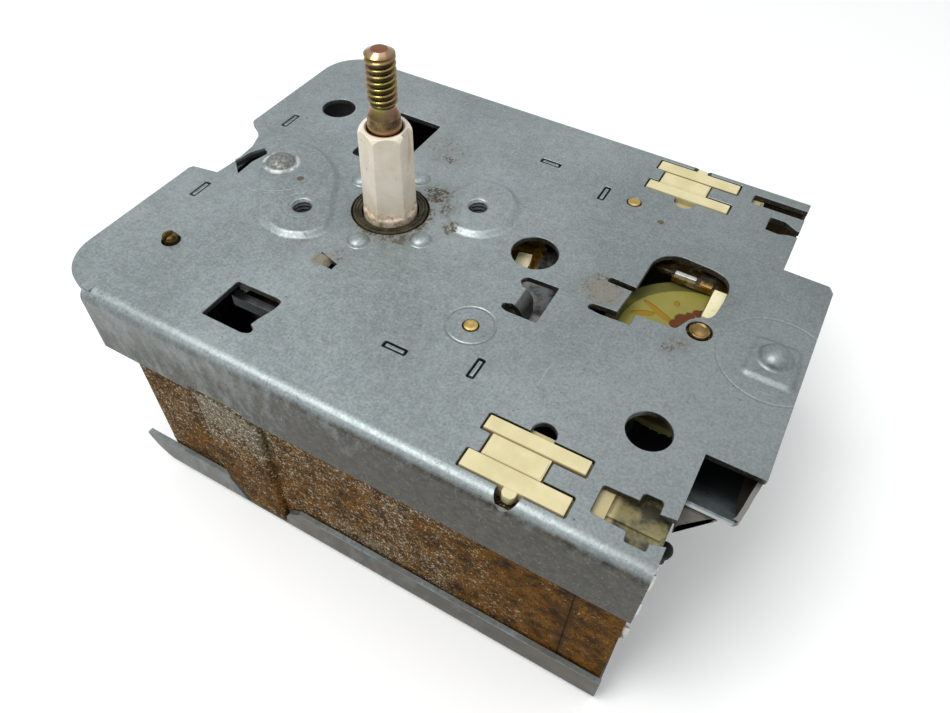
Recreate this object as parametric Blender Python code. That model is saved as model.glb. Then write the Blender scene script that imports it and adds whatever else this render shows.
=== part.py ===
"""Push-pull programmable timer of a laundry machine, as an assembly of separate solids.

Sizes below are in millimetres and are turned into metres where a mesh is made. They are given in the shaft's
own frame: x runs along the long side of the plates, y across them, z along the shaft, and z = 0 is the outer
face of the front plate. The assembly hangs on one empty that puts the rear plate's outer face at world z = 0
and the middle of the assembly's box at x = y = 0.
"""

import math

import bmesh
import bpy
from mathutils import Vector

MM = 0.001
GAP = 0.3  # between pieces that rest on each other

# Front and rear plates
LEFT = -39.4
RIGHT = 66.5
TONGUE_RIGHT = 75.2
TONGUE_BACK = 21.3
TONGUE_FRONT = -21.9
HALF_WIDTH = 43.3
SHEET = 1.0
BEND = 2.3
FLANGE_LEFT = -31.8
FRONT_FLANGE = 13.8
REAR_FLANGE = 8.4
DEPTH = 49.0
CORNER = 9.0
MID_X = (LEFT + TONGUE_RIGHT) / 2

# Side walls and corner brackets
WALL_OUT = HALF_WIDTH - SHEET - GAP
WALL = 0.9
WALL_LEFT = -26.4
WALL_RIGHT = 66.0
WALL_TOP = -BEND - 0.1
WALL_LOW = -DEPTH + BEND + 0.1
BRACKET = 0.7
INSIDE_TOP = -SHEET - GAP
INSIDE_LOW = -DEPTH + SHEET + GAP

# Mounting pattern on the front plate
MOUNT_PITCH = 31.75
MOUNT_ANGLE = math.radians(31.1)
MOUNT_X = MOUNT_PITCH / 2 * math.cos(MOUNT_ANGLE)
MOUNT_Y = MOUNT_PITCH / 2 * math.sin(MOUNT_ANGLE)
MOUNT_HOLE = 1.75
PAD_RISE = 0.8

# Shaft
STUD_TOP = 30.4
STUD_THREAD = 2.41
STUD_LOW = -44.4
SLEEVE_TOP = 17.1
SLEEVE_FOOT = 4.85
SLEEVE_BORE = 3.3
SLEEVE_FLAT = 4.15
SLEEVE_FACING = -54.0
PULL = 3.2

# Cam drum and ratchet
DRUM_WALL = 27.0
DRUM_TOP = -9.6
DRUM_LOW = -40.2
HUB_LOW = -41.4
CAM_HIGH = 29.3
CAM_LOW = 27.9
CAM_HALF = 3.0
CAM_STEPS = 60
LEVELS = (-15.0, -25.0, -35.0)
TEETH = 60
TOOTH_TIP = 29.3
TOOTH_ROOT = 28.1
TOOTH_FLOOR = 0.3  # share of the pitch
RATCHET_LOW = DRUM_TOP + GAP
RATCHET_TOP = -6.9

# Pivots, each as x, y
CAM_AXIS = (58.4, 0.0)
MOTOR_AXIS = (49.0, 0.0)
LEVER_PIVOT = (37.5, 25.2)
PAWL_PIVOT = (26.6, 19.6)
DETENT_PIVOT = (26.6, -17.5)
LINE_POST = (-27.6, -26.5)

# Gear train between the motor and the snail cam
MODULE = 0.5
PINION = 10
WHEEL = 40
CAM_WHEEL = 44
WHEEL_PITCH = MODULE * (PINION + WHEEL) / 2
CAM_PITCH = MODULE * (PINION + CAM_WHEEL) / 2

# Snail cam
CAM_DISC = 15.5
CAM_FACE = 13.1
SNAIL_HIGH = 15.0
SNAIL_LOW = 7.8
SNAIL_START = 24.0
SNAIL_DROP = 174.0

# Motor
CAN = 16.0
CAN_TOP = -26.0
COVER_TOP = -24.6

# Switch blocks and blades
BRACKET_SHEET = 0.7
BLOCK_LEFT = 37.2
BLOCK_RIGHT = 58.0
BLOCK_IN = 29.6
BLOCK_OUT = 40.6
SHELF_RIGHT = 65.2
BLADE_HALF = 2.4
ARM_Y = 31.35
ARM_ROOT = 36.8
ARM_TIP = -8.0
TERMINAL_Y = 32.1
CONTACT_Y = 35.6
BLADE = 0.5
ARM = 0.4
TAB_END = 67.3

# Line switch
LEVER_REACH = 38.0
LEVER_FULCRUM = 20.0
LINE_ANGLE = math.atan2(LINE_POST[1], LINE_POST[0])

COLOURS = {
    "galvanised": ((0.42, 0.45, 0.47), 0.45, 0.9),
    "dark_steel": ((0.16, 0.16, 0.17), 0.35, 0.9),
    "rusted_steel": ((0.27, 0.13, 0.045), 0.85, 0.3),
    "plated_brass": ((0.62, 0.47, 0.2), 0.35, 1.0),
    "bronze_blade": ((0.6, 0.42, 0.24), 0.35, 1.0),
    "white_plastic": ((0.83, 0.8, 0.74), 0.5, 0.0),
    "cream_plastic": ((0.83, 0.76, 0.52), 0.5, 0.0),
    "yellow_plastic": ((0.55, 0.54, 0.2), 0.45, 0.0),
    "black_plastic": ((0.02, 0.02, 0.022), 0.5, 0.0),
    "copper_coil": ((0.5, 0.2, 0.08), 0.4, 0.8),
    "magnet": ((0.06, 0.06, 0.065), 0.6, 0.2),
}


def polar(radius, degrees, centre=(0.0, 0.0)):
    angle = math.radians(degrees)
    return (centre[0] + radius * math.cos(angle), centre[1] + radius * math.sin(angle))


# Scene, materials and objects


def clear_scene():
    for item in list(bpy.context.scene.objects):
        bpy.data.objects.remove(item, do_unlink=True)


def make_material(name):
    colour, roughness, metallic = COLOURS[name]
    material = bpy.data.materials.new(name)
    material.use_nodes = True
    shader = material.node_tree.nodes["Principled BSDF"]
    shader.inputs["Base Color"].default_value = (*colour, 1.0)
    shader.inputs["Roughness"].default_value = roughness
    shader.inputs["Metallic"].default_value = metallic
    return material


def make_empty(name, place, parent=None, turn=0.0):
    """An empty at a place in the shaft's frame, turned about z."""
    empty = bpy.data.objects.new(name, None)
    bpy.context.collection.objects.link(empty)
    empty.parent = parent
    empty.location = Vector(place) * MM
    empty.rotation_euler = (0.0, 0.0, turn)
    return empty


def make_object(name, mesh_bm, material, pivot, place=(0.0, 0.0, 0.0), cutter=False):
    """One object from a bmesh in the shaft's frame, with its origin at its pivot's empty, at place."""
    bmesh.ops.recalc_face_normals(mesh_bm, faces=mesh_bm.faces)
    bmesh.ops.translate(mesh_bm, verts=mesh_bm.verts, vec=-Vector(place))
    bmesh.ops.scale(mesh_bm, verts=mesh_bm.verts, vec=(MM, MM, MM))
    mesh = bpy.data.meshes.new(name)
    mesh_bm.to_mesh(mesh)
    mesh_bm.free()
    item = bpy.data.objects.new(name, mesh)
    bpy.context.collection.objects.link(item)
    item.parent = pivot
    if cutter:
        item.hide_render = True
        item.display_type = "WIRE"
    else:
        mesh.materials.append(material)
        mesh.shade_smooth()
        mesh.set_sharp_from_angle(angle=math.radians(35))
    return item


def combine(item, operation, mesh_bm, pivot, place=(0.0, 0.0, 0.0)):
    """Adds or cuts away a closed shape with an exact Boolean, which stays on the object."""
    count = len(item.modifiers) + 1
    tool = make_object(f"{item.name}_{operation.lower()}_{count}", mesh_bm, None, pivot, place, cutter=True)
    modifier = item.modifiers.new(operation.title(), "BOOLEAN")
    modifier.operation = operation
    modifier.solver = "EXACT"
    modifier.object = tool


# Outlines


def rounded(points, radius, segments=3):
    """An outline with each corner replaced by an arc, or left sharp where its third value is 0."""
    found = []
    count = len(points)
    for i, point in enumerate(points):
        here = Vector(point[:2])
        size = point[2] if len(point) > 2 else radius
        back = Vector(points[i - 1][:2]) - here
        ahead = Vector(points[(i + 1) % count][:2]) - here
        size = min(size, 0.45 * back.length, 0.45 * ahead.length)
        if size < 0.05:
            found.append(tuple(here))
            continue
        start = here + back.normalized() * size
        end = here + ahead.normalized() * size
        for step in range(segments + 1):
            t = step / segments
            found.append(tuple((1 - t) ** 2 * start + 2 * t * (1 - t) * here + t * t * end))
    return found


def circle(radius, centre=(0.0, 0.0), steps=24):
    return [polar(radius, 360 * i / steps, centre) for i in range(steps)]


def rectangle(x0, x1, y0, y1):
    return [(x0, y0), (x1, y0), (x1, y1), (x0, y1)]


def arc(centre, radius, start, end, segments):
    return [polar(radius, start + (end - start) * i / segments, centre) for i in range(segments + 1)]


def strip(points, width):
    """The outline of a thin strip along a path."""
    sides = ([], [])
    for i, point in enumerate(points):
        here = Vector(point)
        into = (here - Vector(points[i - 1])).normalized() if i else None
        out = (Vector(points[i + 1]) - here).normalized() if i + 1 < len(points) else None
        along = (into + out).normalized() if into and out else (into or out)
        normal = Vector((-along.y, along.x))
        miter = 1 / max(0.4, normal.dot(Vector((-out.y, out.x)))) if out else 1.0
        for side, sign in zip(sides, (1, -1)):
            side.append(tuple(here + normal * (sign * miter * width / 2)))
    return sides[0] + sides[1][::-1]


def inset(points, distance):
    """The same outline, counter-clockwise, moved inwards by a distance."""
    found = []
    for i, point in enumerate(points):
        here = Vector(point)
        into = (here - Vector(points[i - 1])).normalized()
        out = (Vector(points[(i + 1) % len(points)]) - here).normalized()
        normal = Vector((-(into + out).y, (into + out).x)).normalized()
        miter = 1 / max(0.6, normal.dot(Vector((-out.y, out.x))))
        found.append(tuple(here + normal * (distance * miter)))
    return found


def gear_outline(teeth, centre, facing):
    """Spur teeth of the train's module, with one tooth centred on the angle given in degrees."""
    pitch = 360 / teeth
    root = MODULE * (teeth / 2 - 1.2)
    tip = MODULE * (teeth / 2 + 0.8)
    flank = ((-0.24, root), (-0.08, tip), (0.08, tip), (0.24, root))
    return [
        polar(radius, facing + pitch * (tooth + share), centre)
        for tooth in range(teeth)
        for share, radius in flank
    ]


# Closed shapes, each added to a bmesh


def loft(mesh_bm, outlines, place):
    """Closed body through outlines of equal count; place maps (u, v, w) to x, y, z."""
    rings = [[mesh_bm.verts.new(place(u, v, w)) for u, v in outline] for w, outline in outlines]
    count = len(rings[0])
    mesh_bm.faces.new(rings[0])
    mesh_bm.faces.new(rings[-1][::-1])
    for low, high in zip(rings, rings[1:]):
        for i in range(count):
            j = (i + 1) % count
            mesh_bm.faces.new((low[i], high[i], high[j], low[j]))
    return mesh_bm


def upright(u, v, w):
    return (u, v, w)


def lengthwise(u, v, w):
    return (w, u, v)


def crosswise(u, v, w):
    return (u, w, v)


def prism(outline, low, high, place=upright, mesh_bm=None):
    mesh_bm = bmesh.new() if mesh_bm is None else mesh_bm
    return loft(mesh_bm, [(low, outline), (high, outline)], place)


def box(x0, x1, y0, y1, z0, z1, mesh_bm=None):
    return prism(rectangle(x0, x1, y0, y1), z0, z1, mesh_bm=mesh_bm)


def lathe(profile, centre=(0.0, 0.0), steps=24, mesh_bm=None, swell=None, place=upright):
    """Turns an (r, z) profile about an axis. It closes where it ends on the axis; otherwise it is a ring."""
    mesh_bm = bmesh.new() if mesh_bm is None else mesh_bm
    solid = profile[0][0] == 0
    rings = []
    for index, (radius, height) in enumerate(profile):
        if radius == 0:
            rings.append([mesh_bm.verts.new(place(*centre, height))] * steps)
            continue
        ring = []
        for i in range(steps):
            grown = swell(index, i) if swell and swell(index, i) else radius
            ring.append(mesh_bm.verts.new(place(*polar(grown, 360 * i / steps, centre), height)))
        rings.append(ring)
    pairs = list(zip(rings, rings[1:])) + ([] if solid else [(rings[-1], rings[0])])
    for low, high in pairs:
        for i in range(steps):
            j = (i + 1) % steps
            corners = list(dict.fromkeys((low[i], low[j], high[j], high[i])))
            mesh_bm.faces.new(corners)
    return mesh_bm


def cylinder(radius, low, high, centre=(0.0, 0.0), steps=16, mesh_bm=None):
    return prism(circle(radius, centre, steps), low, high, mesh_bm=mesh_bm)


def dome(centre, radius, base, height, mesh_bm, steps=12):
    """A raised spherical button whose skirt is sunk in the sheet below it."""
    rise = [(radius * math.cos(a), base + height * math.sin(a)) for a in (0.0, 0.8)]
    profile = [(0, base - 0.5), (radius, base - 0.5), *rise, (0, base + height)]
    return lathe(profile, centre, steps, mesh_bm)


# Case


def channel(face, edge, half_width, thickness):
    """Cross-section (y, z) of a plate whose two long sides are folded from the face towards the edge."""
    sign = 1 if face > edge else -1
    quarter = [math.radians(90 * i / 3) for i in range(4)]

    def fold(radius):
        return [
            (half_width - BEND + radius * math.cos(a), face - sign * (BEND - radius * math.sin(a)))
            for a in quarter
        ]

    outer = [(half_width, edge), *fold(BEND)]
    inner = [(half_width - thickness, edge), *fold(BEND - thickness)]
    outer += [(-y, z) for y, z in reversed(outer)]
    inner += [(-y, z) for y, z in reversed(inner)]
    return outer + inner[::-1]


def tenon_slots():
    """Slots for the brackets' tenons, the same in both plates."""
    return [
        (-33.8, -32.5, -15.5, -10.9),
        (-33.8, -32.5, 10.9, 15.6),
        (16.8, 21.0, 27.5, 28.8),
        (31.0, 32.3, 22.6, 26.9),
        (16.8, 21.0, -28.2, -26.9),
        (30.9, 32.2, -26.8, -22.6),
    ]


def foot_outline(side):
    """The H-shaped foot of a switch block, for the front (-1) or back (1) side."""
    half = [(37.6, 31.0), (53.4, 31.0), (53.4, 33.6), (48.5, 33.6), (48.5, 37.5), (53.4, 37.5), (53.4, 40.5),
            (37.6, 40.5), (37.6, 37.8), (39.4, 37.8), (39.4, 33.6), (37.6, 33.6)]
    return half if side > 0 else [(x, -y) for x, y in reversed(half)]


def plate_windows():
    """Outlines of the openings in the front plate."""
    cam_window = [(40.9, -4.4), (43.3, -4.7), (48.3, -4.4), (48.2, -1.8), (54.9, -1.4), (56.2, 1.8),
                  (57.5, 3.0), (58.8, 3.5), (59.5, 4.8), (60.0, 10.8, 2.0), (59.1, 13.9, 2.0),
                  (56.3, 14.9, 2.0), (49.8, 15.3, 2.0), (48.0, 14.5, 1.5), (46.3, 11.7), (46.2, 4.0, 0.0),
                  (41.4, 4.0), (41.3, 3.0), (45.9, 3.0, 0.0), (45.5, -2.7), (41.3, -3.2)]
    blade_window = [(-11.2, -36.9), (-2.1, -36.9, 0.8), (-2.1, -35.3, 0.8), (-3.1, -35.0), (-2.9, -33.6),
                    (-2.0, -30.3), (-2.0, -28.5, 0.9), (-11.1, -28.5)]
    drum_window = [(-16.2, 10.4, 1.0), (-5.9, 10.4), (-5.9, 27.6), (-16.2, 27.6)]
    tongue_window = [(28.7, -11.3, 0.6), (29.7, -11.8), (35.2, -11.7), (35.1, -2.7), (29.3, -3.0, 0.7),
                     (28.8, -4.5, 0.7), (29.6, -5.1), (29.8, -5.3), (29.8, -10.1), (29.6, -10.2, 0.6),
                     (28.9, -10.1, 0.6)]
    corner_window = [(56.1, -38.2), (61.3, -38.4), (61.5, -39.9), (64.4, -39.9), (64.4, -38.6),
                     (67.5, -37.6), (67.5, -33.6), (64.2, -34.0), (64.1, -31.9), (61.3, -32.0),
                     (61.2, -33.4),
                     (56.1, -33.6)]
    back_hook = [(60.8, 30.4), (63.2, 30.2), (64.8, 30.9), (67.5, 31.2), (67.5, 32.8), (66.0, 32.8),
                 (63.6, 34.3), (60.8, 34.3)]
    ear_slit = [(-32.9, -3.6), (-30.4, -6.0), (-30.6, -1.8), (-29.8, 1.7), (-30.8, 2.7), (-32.3, 0.1)]
    lance = [(-3.6, -15.7), (-3.7, -18.1), (0.2, -18.3), (0.3, -16.8)]
    outlines = [rounded(outline, 0.4, 2) for outline in
                (cam_window, blade_window, drum_window, tongue_window, corner_window)]
    outlines += [back_hook, ear_slit, lance, rectangle(56.5, 67.5, 36.6, 39.4)]
    outlines += [rectangle(*slot) for slot in tenon_slots()]
    for side in (-1, 1):
        outlines.append(inset(foot_outline(side), -GAP))
    return outlines


def plate_holes():
    """Round holes in the front plate, each as centre and radius."""
    return [
        ((0.0, 0.0), 7.1),
        ((-27.5, 22.2), 3.43),
        ((27.8, 3.05), 4.15),
        ((58.3, -22.2), 3.43),
        ((-MOUNT_X, -MOUNT_Y), MOUNT_HOLE),
        ((MOUNT_X, MOUNT_Y), MOUNT_HOLE),
        (DETENT_PIVOT, 1.45),
        (LEVER_PIVOT, 1.45),
        (LINE_POST, 1.7),
        (CAM_AXIS, 2.2),
        ((45.6, -41.4), 1.9),
        ((45.6, 41.4), 1.9),
        ((45.6, -30.2), 1.9),
        ((45.6, 30.2), 1.9),
    ]


def pad_outlines():
    """The two raised pads around the tapped mounting holes."""
    left = [(-25.8, -5.7), (-19.2, -13.7), (-13.5, -16.0), (-9.0, -14.8), (-6.4, -11.9), (-6.9, -8.4),
            (-9.9, -3.0), (-13.9, 3.4), (-20.6, 7.6), (-26.5, 7.6), (-29.2, 5.2), (-29.0, 0.5)]
    right = [(7.3, 10.0), (7.4, 7.6), (10.3, 2.7), (13.2, 0.6), (17.8, 1.5), (20.8, 5.2), (21.0, 9.8),
             (19.6, 13.3), (16.0, 16.3), (12.6, 16.7), (9.2, 15.0)]
    return [left, right]


def front_plate(root, steel):
    section = channel(0.0, -FRONT_FLANGE, HALF_WIDTH, SHEET)
    plate = make_object("front_plate", prism(section, FLANGE_LEFT, RIGHT, lengthwise), steel, root)

    inner_x = FLANGE_LEFT + 1.4
    side_y = HALF_WIDTH - 0.9
    end = [(inner_x, -side_y), *reversed(arc((LEFT + CORNER, -side_y + CORNER), CORNER, 180, 270, 5)),
           (LEFT, -8.8), (-33.9, -7.8), (-33.8, 2.2), (-36.5, 7.1), (LEFT, 9.0),
           *reversed(arc((LEFT + CORNER, side_y - CORNER), CORNER, 90, 180, 5)), (inner_x, side_y)]
    tongue = [(RIGHT - 1.5, TONGUE_FRONT), (TONGUE_RIGHT, TONGUE_FRONT + 0.1), (TONGUE_RIGHT, 19.9),
              (TONGUE_RIGHT - 1.0, TONGUE_BACK - 0.3), (RIGHT - 1.5, TONGUE_BACK)]
    flats = prism(end, -SHEET, 0.0)
    combine(plate, "UNION", prism(tongue, -SHEET, 0.0, mesh_bm=flats), root)

    raised = bmesh.new()
    for outline in pad_outlines():
        levels = [(-0.5, outline), (0.0, inset(outline, 0.2)), (PAD_RISE, inset(outline, 1.0))]
        loft(raised, levels, upright)
    seat = rounded([(66.6, -4.8), (74.4, -4.9), (73.6, 3.8), (66.6, 3.8)], 1.2)
    loft(raised, [(-0.5, seat), (0.4, inset(seat, 0.5))], upright)
    combine(plate, "UNION", raised, root)

    buttons = dome((-24.8, 0.0), 2.9, PAD_RISE, 1.5, bmesh.new())
    dome((70.4, 0.0), 2.9, 0.4, 1.9, buttons)
    for degrees in (-89.8, -25.8, 90.2, 154.2):
        dome(polar(10.2, degrees), 1.9, 0.0, 0.6, buttons, 8)
    combine(plate, "UNION", buttons, root)

    cuts = bmesh.new()
    for outline in plate_windows():
        prism(outline, -3.0, 3.0, mesh_bm=cuts)
    combine(plate, "DIFFERENCE", cuts, root)
    cuts = bmesh.new()
    for centre, radius in plate_holes():
        cylinder(radius, -3.0, 3.0, centre, 32 if radius > 3 else 16, cuts)
    notch = [(-12.6, -15.0), (-12.6, -12.4), (-2.2, -12.4), (1.3, -14.6), (1.3, -15.0)]
    for side in (-1, 1):
        prism(notch, *sorted((side * 50.0, side * (HALF_WIDTH - SHEET - 0.15))), crosswise, cuts)
    combine(plate, "DIFFERENCE", cuts, root)

    roll = strip([(29.0, -0.5), (30.2, -0.6), (31.0, -1.1), (31.5, -2.0), (31.7, -4.6)], 0.8)
    combine(plate, "UNION", prism(roll, -9.5, -5.9, crosswise), root)


def rear_plate(root, steel):
    top = -DEPTH + REAR_FLANGE
    section = channel(-DEPTH, top, HALF_WIDTH, SHEET)
    plate = make_object("rear_plate", prism(section, -33.0, RIGHT, lengthwise), steel, root)
    cuts = bmesh.new()
    for slot in tenon_slots():
        prism(rectangle(*slot), -DEPTH - 2, -DEPTH + 3, mesh_bm=cuts)
    cylinder(5.6, -DEPTH - 2, -DEPTH + 3, mesh_bm=cuts)
    for degrees in (0, 180):
        cylinder(2.2, -DEPTH - 2, -DEPTH + 3, polar(22.0, degrees, (49.0, 0.0)), 16, cuts)
    combine(plate, "DIFFERENCE", cuts, root)
    cuts = bmesh.new()
    gap = [(-11.6, top + 1), (-11.6, top), (-8.2, -DEPTH + 1.6), (1.5, -DEPTH + 1.6), (1.5, top - 4.0),
           (2.7, top - 1.6), (5.2, top), (5.2, top + 1)]
    tip = [(-34.0, -DEPTH - 1.0), (-25.6, -DEPTH - 1.0), (-27.6, -DEPTH + 1.2), (-31.2, -DEPTH + 4.2),
           (-33.1, top), (-34.0, top)]
    for side in (-1, 1):
        ends = sorted((side * (HALF_WIDTH - SHEET - 0.2), side * 50.0))
        prism(gap, *ends, crosswise, cuts)
        prism(tip, *sorted((side * (HALF_WIDTH - 2 * BEND), side * 50.0)), crosswise, cuts)
    combine(plate, "DIFFERENCE", cuts, root)


def side_wall(name, side, root, rust):
    """One long wall with a pressed-out panel that keys it between the two plates' flanges."""
    out = side * WALL_OUT
    inner = side * (WALL_OUT - WALL)
    sheet = prism(rectangle(WALL_LEFT, WALL_RIGHT, WALL_LOW, WALL_TOP), *sorted((inner, out)), crosswise)
    wall = make_object(name, sheet, rust, root)
    low = INSIDE_LOW + 0.6
    panel = [(-7.6, low), (1.1, low), (1.1, -15.1), (-2.3, -12.8), (-12.2, -12.8), (-12.2, -39.4),
             (-11.0, -40.7)]
    face = side * HALF_WIDTH
    combine(wall, "UNION", prism(panel, *sorted((side * (WALL_OUT - 0.4), face)), crosswise), root)
    pocket = prism(inset(panel, WALL), *sorted((side * (WALL_OUT - 2), face - side * WALL)), crosswise)
    combine(wall, "DIFFERENCE", pocket, root)


def tenoned(outline, low, high, tenons):
    """A standing strip of sheet with tenons that reach into both plates."""
    strip_bm = prism(outline, low, high)
    blocks = bmesh.new()
    for x0, x1, y0, y1 in tenons:
        box(x0 + GAP, x1 - GAP, y0 + GAP, y1 - GAP, high - 0.5, -0.05, blocks)
        box(x0 + GAP, x1 - GAP, y0 + GAP, y1 - GAP, -DEPTH + 0.05, low + 0.5, blocks)
    return strip_bm, blocks


def brackets(root, steel):
    slots = tenon_slots()
    left_x = (slots[0][0] + slots[0][1]) / 2
    left = rectangle(left_x - BRACKET / 2, left_x + BRACKET / 2, -19.0, 40.0)
    body, blocks = tenoned(left, INSIDE_LOW, INSIDE_TOP, slots[:2])
    item = make_object("left_bracket", body, steel, root)
    combine(item, "UNION", blocks, root)
    for name, pair in (("back_corner_bracket", slots[2:4]), ("front_corner_bracket", slots[4:6])):
        wall_y = (pair[0][2] + pair[0][3]) / 2
        wall_x = (pair[1][0] + pair[1][1]) / 2
        end_y = math.copysign(22.2, wall_y)
        path = strip([(15.0, wall_y), (wall_x, wall_y), (wall_x, end_y)], BRACKET)
        body, blocks = tenoned(path, INSIDE_LOW, INSIDE_TOP, pair)
        item = make_object(name, body, steel, root)
        combine(item, "UNION", blocks, root)
    arm = [(-13.4, -28.9), (15.4, -28.1), (15.4, -27.0), (-11.6, -27.3), (-12.4, -26.9), (-13.4, -27.3)]
    combine(item, "UNION", prism(arm, -6.4, -4.0), root)


def end_wall(root, steel):
    """The sheet that closes the right-hand end between the two switch blocks, below the snail cam."""
    body = box(65.5, 66.2, -29.0, 29.0, INSIDE_LOW, -15.0)
    item = make_object("end_wall", body, steel, root)
    combine(item, "DIFFERENCE", box(64.0, 67.0, -8.0, 8.0, -33.0, -27.5), root)


def end_bracket(root, steel):
    """The open scoop under the tongue at the right-hand end: it hangs from the plate and has a flat tail."""
    run = [(-29.4, -1.8), (-29.0, -2.3), (-27.6, -3.4), (-24.5, -5.9), (-21.0, -8.0), (-17.5, -9.4),
           (-15.2, -9.9), (-14.4, -9.4), (-14.4, INSIDE_TOP)]
    item = make_object("end_bracket", prism(strip(run, BRACKET_SHEET), 66.5, 74.9, lengthwise), steel, root)
    outside = [(72.9, -30.4), (74.0, -28.4), (75.0, -21.5), (75.1, -11.0), (78.0, -11.0), (78.0, -30.4)]
    combine(item, "DIFFERENCE", prism(outside, -12.0, 0.0), root)
    stations = [(-28.9, 73.3, -2.9), (-28.4, 73.6, -3.2), (-24.5, 74.1, -6.1), (-21.5, 74.6, -7.8),
                (-17.5, 74.7, -9.5), (-15.2, 74.7, -10.0), (-14.2, 74.7, -9.6)]
    wall = [(y, rectangle(x - 0.35, x + 0.35, low, INSIDE_TOP)) for y, x, low in stations]
    combine(item, "UNION", loft(bmesh.new(), wall, crosswise), root)
    tail = [(66.45, -33.6), (66.8, -33.0), (68.6, -31.5), (70.1, -29.8), (71.0, -29.2), (66.6, -29.1)]
    combine(item, "UNION", prism(tail, -3.3, -2.5), root)


def cam_bracket(root, steel):
    """The bracket under the back of the cam window, with two lugs and the block that guards the cam."""
    sheet = [(45.0, 13.5), (49.4, 13.5), (50.0, 12.4), (57.3, 12.4), (57.3, 4.8), (60.0, 4.8), (60.0, 19.5),
             (45.0, 19.5)]
    item = make_object("cam_bracket", prism(sheet, -3.4, -2.4), steel, root)
    raised = box(46.0, 59.0, 16.6, 19.5, -2.6, INSIDE_TOP)
    box(50.2, 54.2, 12.4, 13.4, -2.6, -1.5, raised)
    box(54.9, 57.0, 12.4, 13.6, -2.6, -1.9, raised)
    box(57.5, 59.8, 5.0, 12.2, -2.6, -1.5, raised)
    combine(item, "UNION", raised, root)


# Shaft and drum


def shaft_group(root, drum, stud, parts):
    bushing = [(5.25, 0.2), (6.8, 0.2), (6.8, INSIDE_TOP), (9.0, INSIDE_TOP), (9.0, -2.6), (6.8, -2.6),
               (6.8, -6.2), (5.25, -6.2)]
    make_object("shaft_bushing", lathe(bushing, steps=32), parts["dark_steel"], root)
    ring = [(8.3, INSIDE_LOW), (11.5, INSIDE_LOW), (11.5, HUB_LOW + 2.9), (8.3, HUB_LOW + 2.9)]
    bearing = make_object("rear_bearing", lathe(ring, steps=24), parts["plated_brass"], root)
    slot = strip([(0.0, 0.0), polar(16.0, math.degrees(LINE_ANGLE))], 5.0)
    combine(bearing, "DIFFERENCE", prism(slot, -50.0, -38.0), root)

    sleeve = [(SLEEVE_BORE, -38.0), (SLEEVE_FOOT, -38.0), (SLEEVE_FOOT, 0.9), (4.75, 1.1),
              (4.55, SLEEVE_TOP - 0.8), (3.95, SLEEVE_TOP), (SLEEVE_BORE, SLEEVE_TOP)]
    item = make_object("dial_sleeve", lathe(sleeve, steps=36), parts["white_plastic"], drum)
    for face in range(6):
        turn = SLEEVE_FACING + 60 * face
        side = [(SLEEVE_FLAT, -4.0), (8.0, -4.0), (8.0, 4.0), (SLEEVE_FLAT, 4.0)]
        outline = [polar(math.hypot(u, v), turn + math.degrees(math.atan2(v, u))) for u, v in side]
        combine(item, "DIFFERENCE", prism(outline, 1.0, SLEEVE_TOP + 1), drum)
    key = [polar(math.hypot(u, v), SLEEVE_FACING + 60 + math.degrees(math.atan2(v, u)))
           for u, v in ((3.75, -1.3), (6.0, -1.3), (6.0, 1.3), (3.75, 1.3))]
    combine(item, "DIFFERENCE", prism(key, 10.0, SLEEVE_TOP + 1), drum)

    profile = [(0, STUD_LOW), (2.5, STUD_LOW), (2.5, 16.2), (2.8, 16.5), (2.8, 19.4), (2.1, 20.9),
               (1.95, 21.2), (STUD_THREAD, 21.6), (STUD_THREAD, 29.7), (1.5, STUD_TOP), (0, STUD_TOP)]
    make_object("pull_stud", lathe(profile, steps=24), parts["plated_brass"], stud)


def cam_radius(level, step):
    """Radius of one cam track: a dip every 30 degrees, and longer dips set by the programme."""
    position = step % (CAM_STEPS // 12)
    dips = {0: ((6, 12), (33, 37)), 1: ((16, 24), (46, 51)), 2: ((26, 31), (52, 59))}[level]
    in_dip = position in (0, 1, CAM_STEPS // 12 - 1) or any(start <= step <= end for start, end in dips)
    return CAM_LOW if in_dip else CAM_HIGH


def drum_group(drum, parts):
    profile = [(5.25, DRUM_TOP), (DRUM_WALL, DRUM_TOP)]
    tracks = {}
    for index, level in enumerate(LEVELS):
        first = len(profile)
        profile += [(DRUM_WALL, level + CAM_HALF), (CAM_HIGH, level + CAM_HALF),
                    (CAM_HIGH, level - CAM_HALF), (DRUM_WALL, level - CAM_HALF)]
        tracks[first + 1] = index
        tracks[first + 2] = index
    profile += [(DRUM_WALL, DRUM_LOW), (25.0, DRUM_LOW), (25.0, DRUM_TOP - 2.4), (8.0, DRUM_TOP - 2.4),
                (8.0, HUB_LOW), (5.25, HUB_LOW)]

    def swell(index, step):
        return cam_radius(tracks[index], step) if index in tracks else 0

    make_object("cam_drum", lathe(profile, steps=CAM_STEPS, swell=swell), parts["black_plastic"], drum)

    pitch = 360 / TEETH
    outline = []
    for tooth in range(TEETH):
        outline.append(polar(TOOTH_ROOT, pitch * (tooth - TOOTH_FLOOR / 2)))
        outline.append(polar(TOOTH_ROOT, pitch * (tooth + TOOTH_FLOOR / 2)))
        outline.append(polar(TOOTH_TIP, pitch * (tooth + TOOTH_FLOOR / 2 + 0.03)))
    ring = make_object("ratchet_wheel", prism(outline, RATCHET_LOW, RATCHET_TOP), parts["plated_brass"],
                       drum)
    combine(ring, "DIFFERENCE", cylinder(21.0, -20.0, 0.0, steps=36), drum)
    post = [polar(24.2, 6.0), polar(26.7, 6.5), polar(26.8, 11.0), polar(26.7, 15.5), polar(24.2, 16.0)]
    combine(ring, "UNION", prism(post, RATCHET_TOP - 0.5, -4.6), drum)


# Step-advance mechanism


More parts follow.
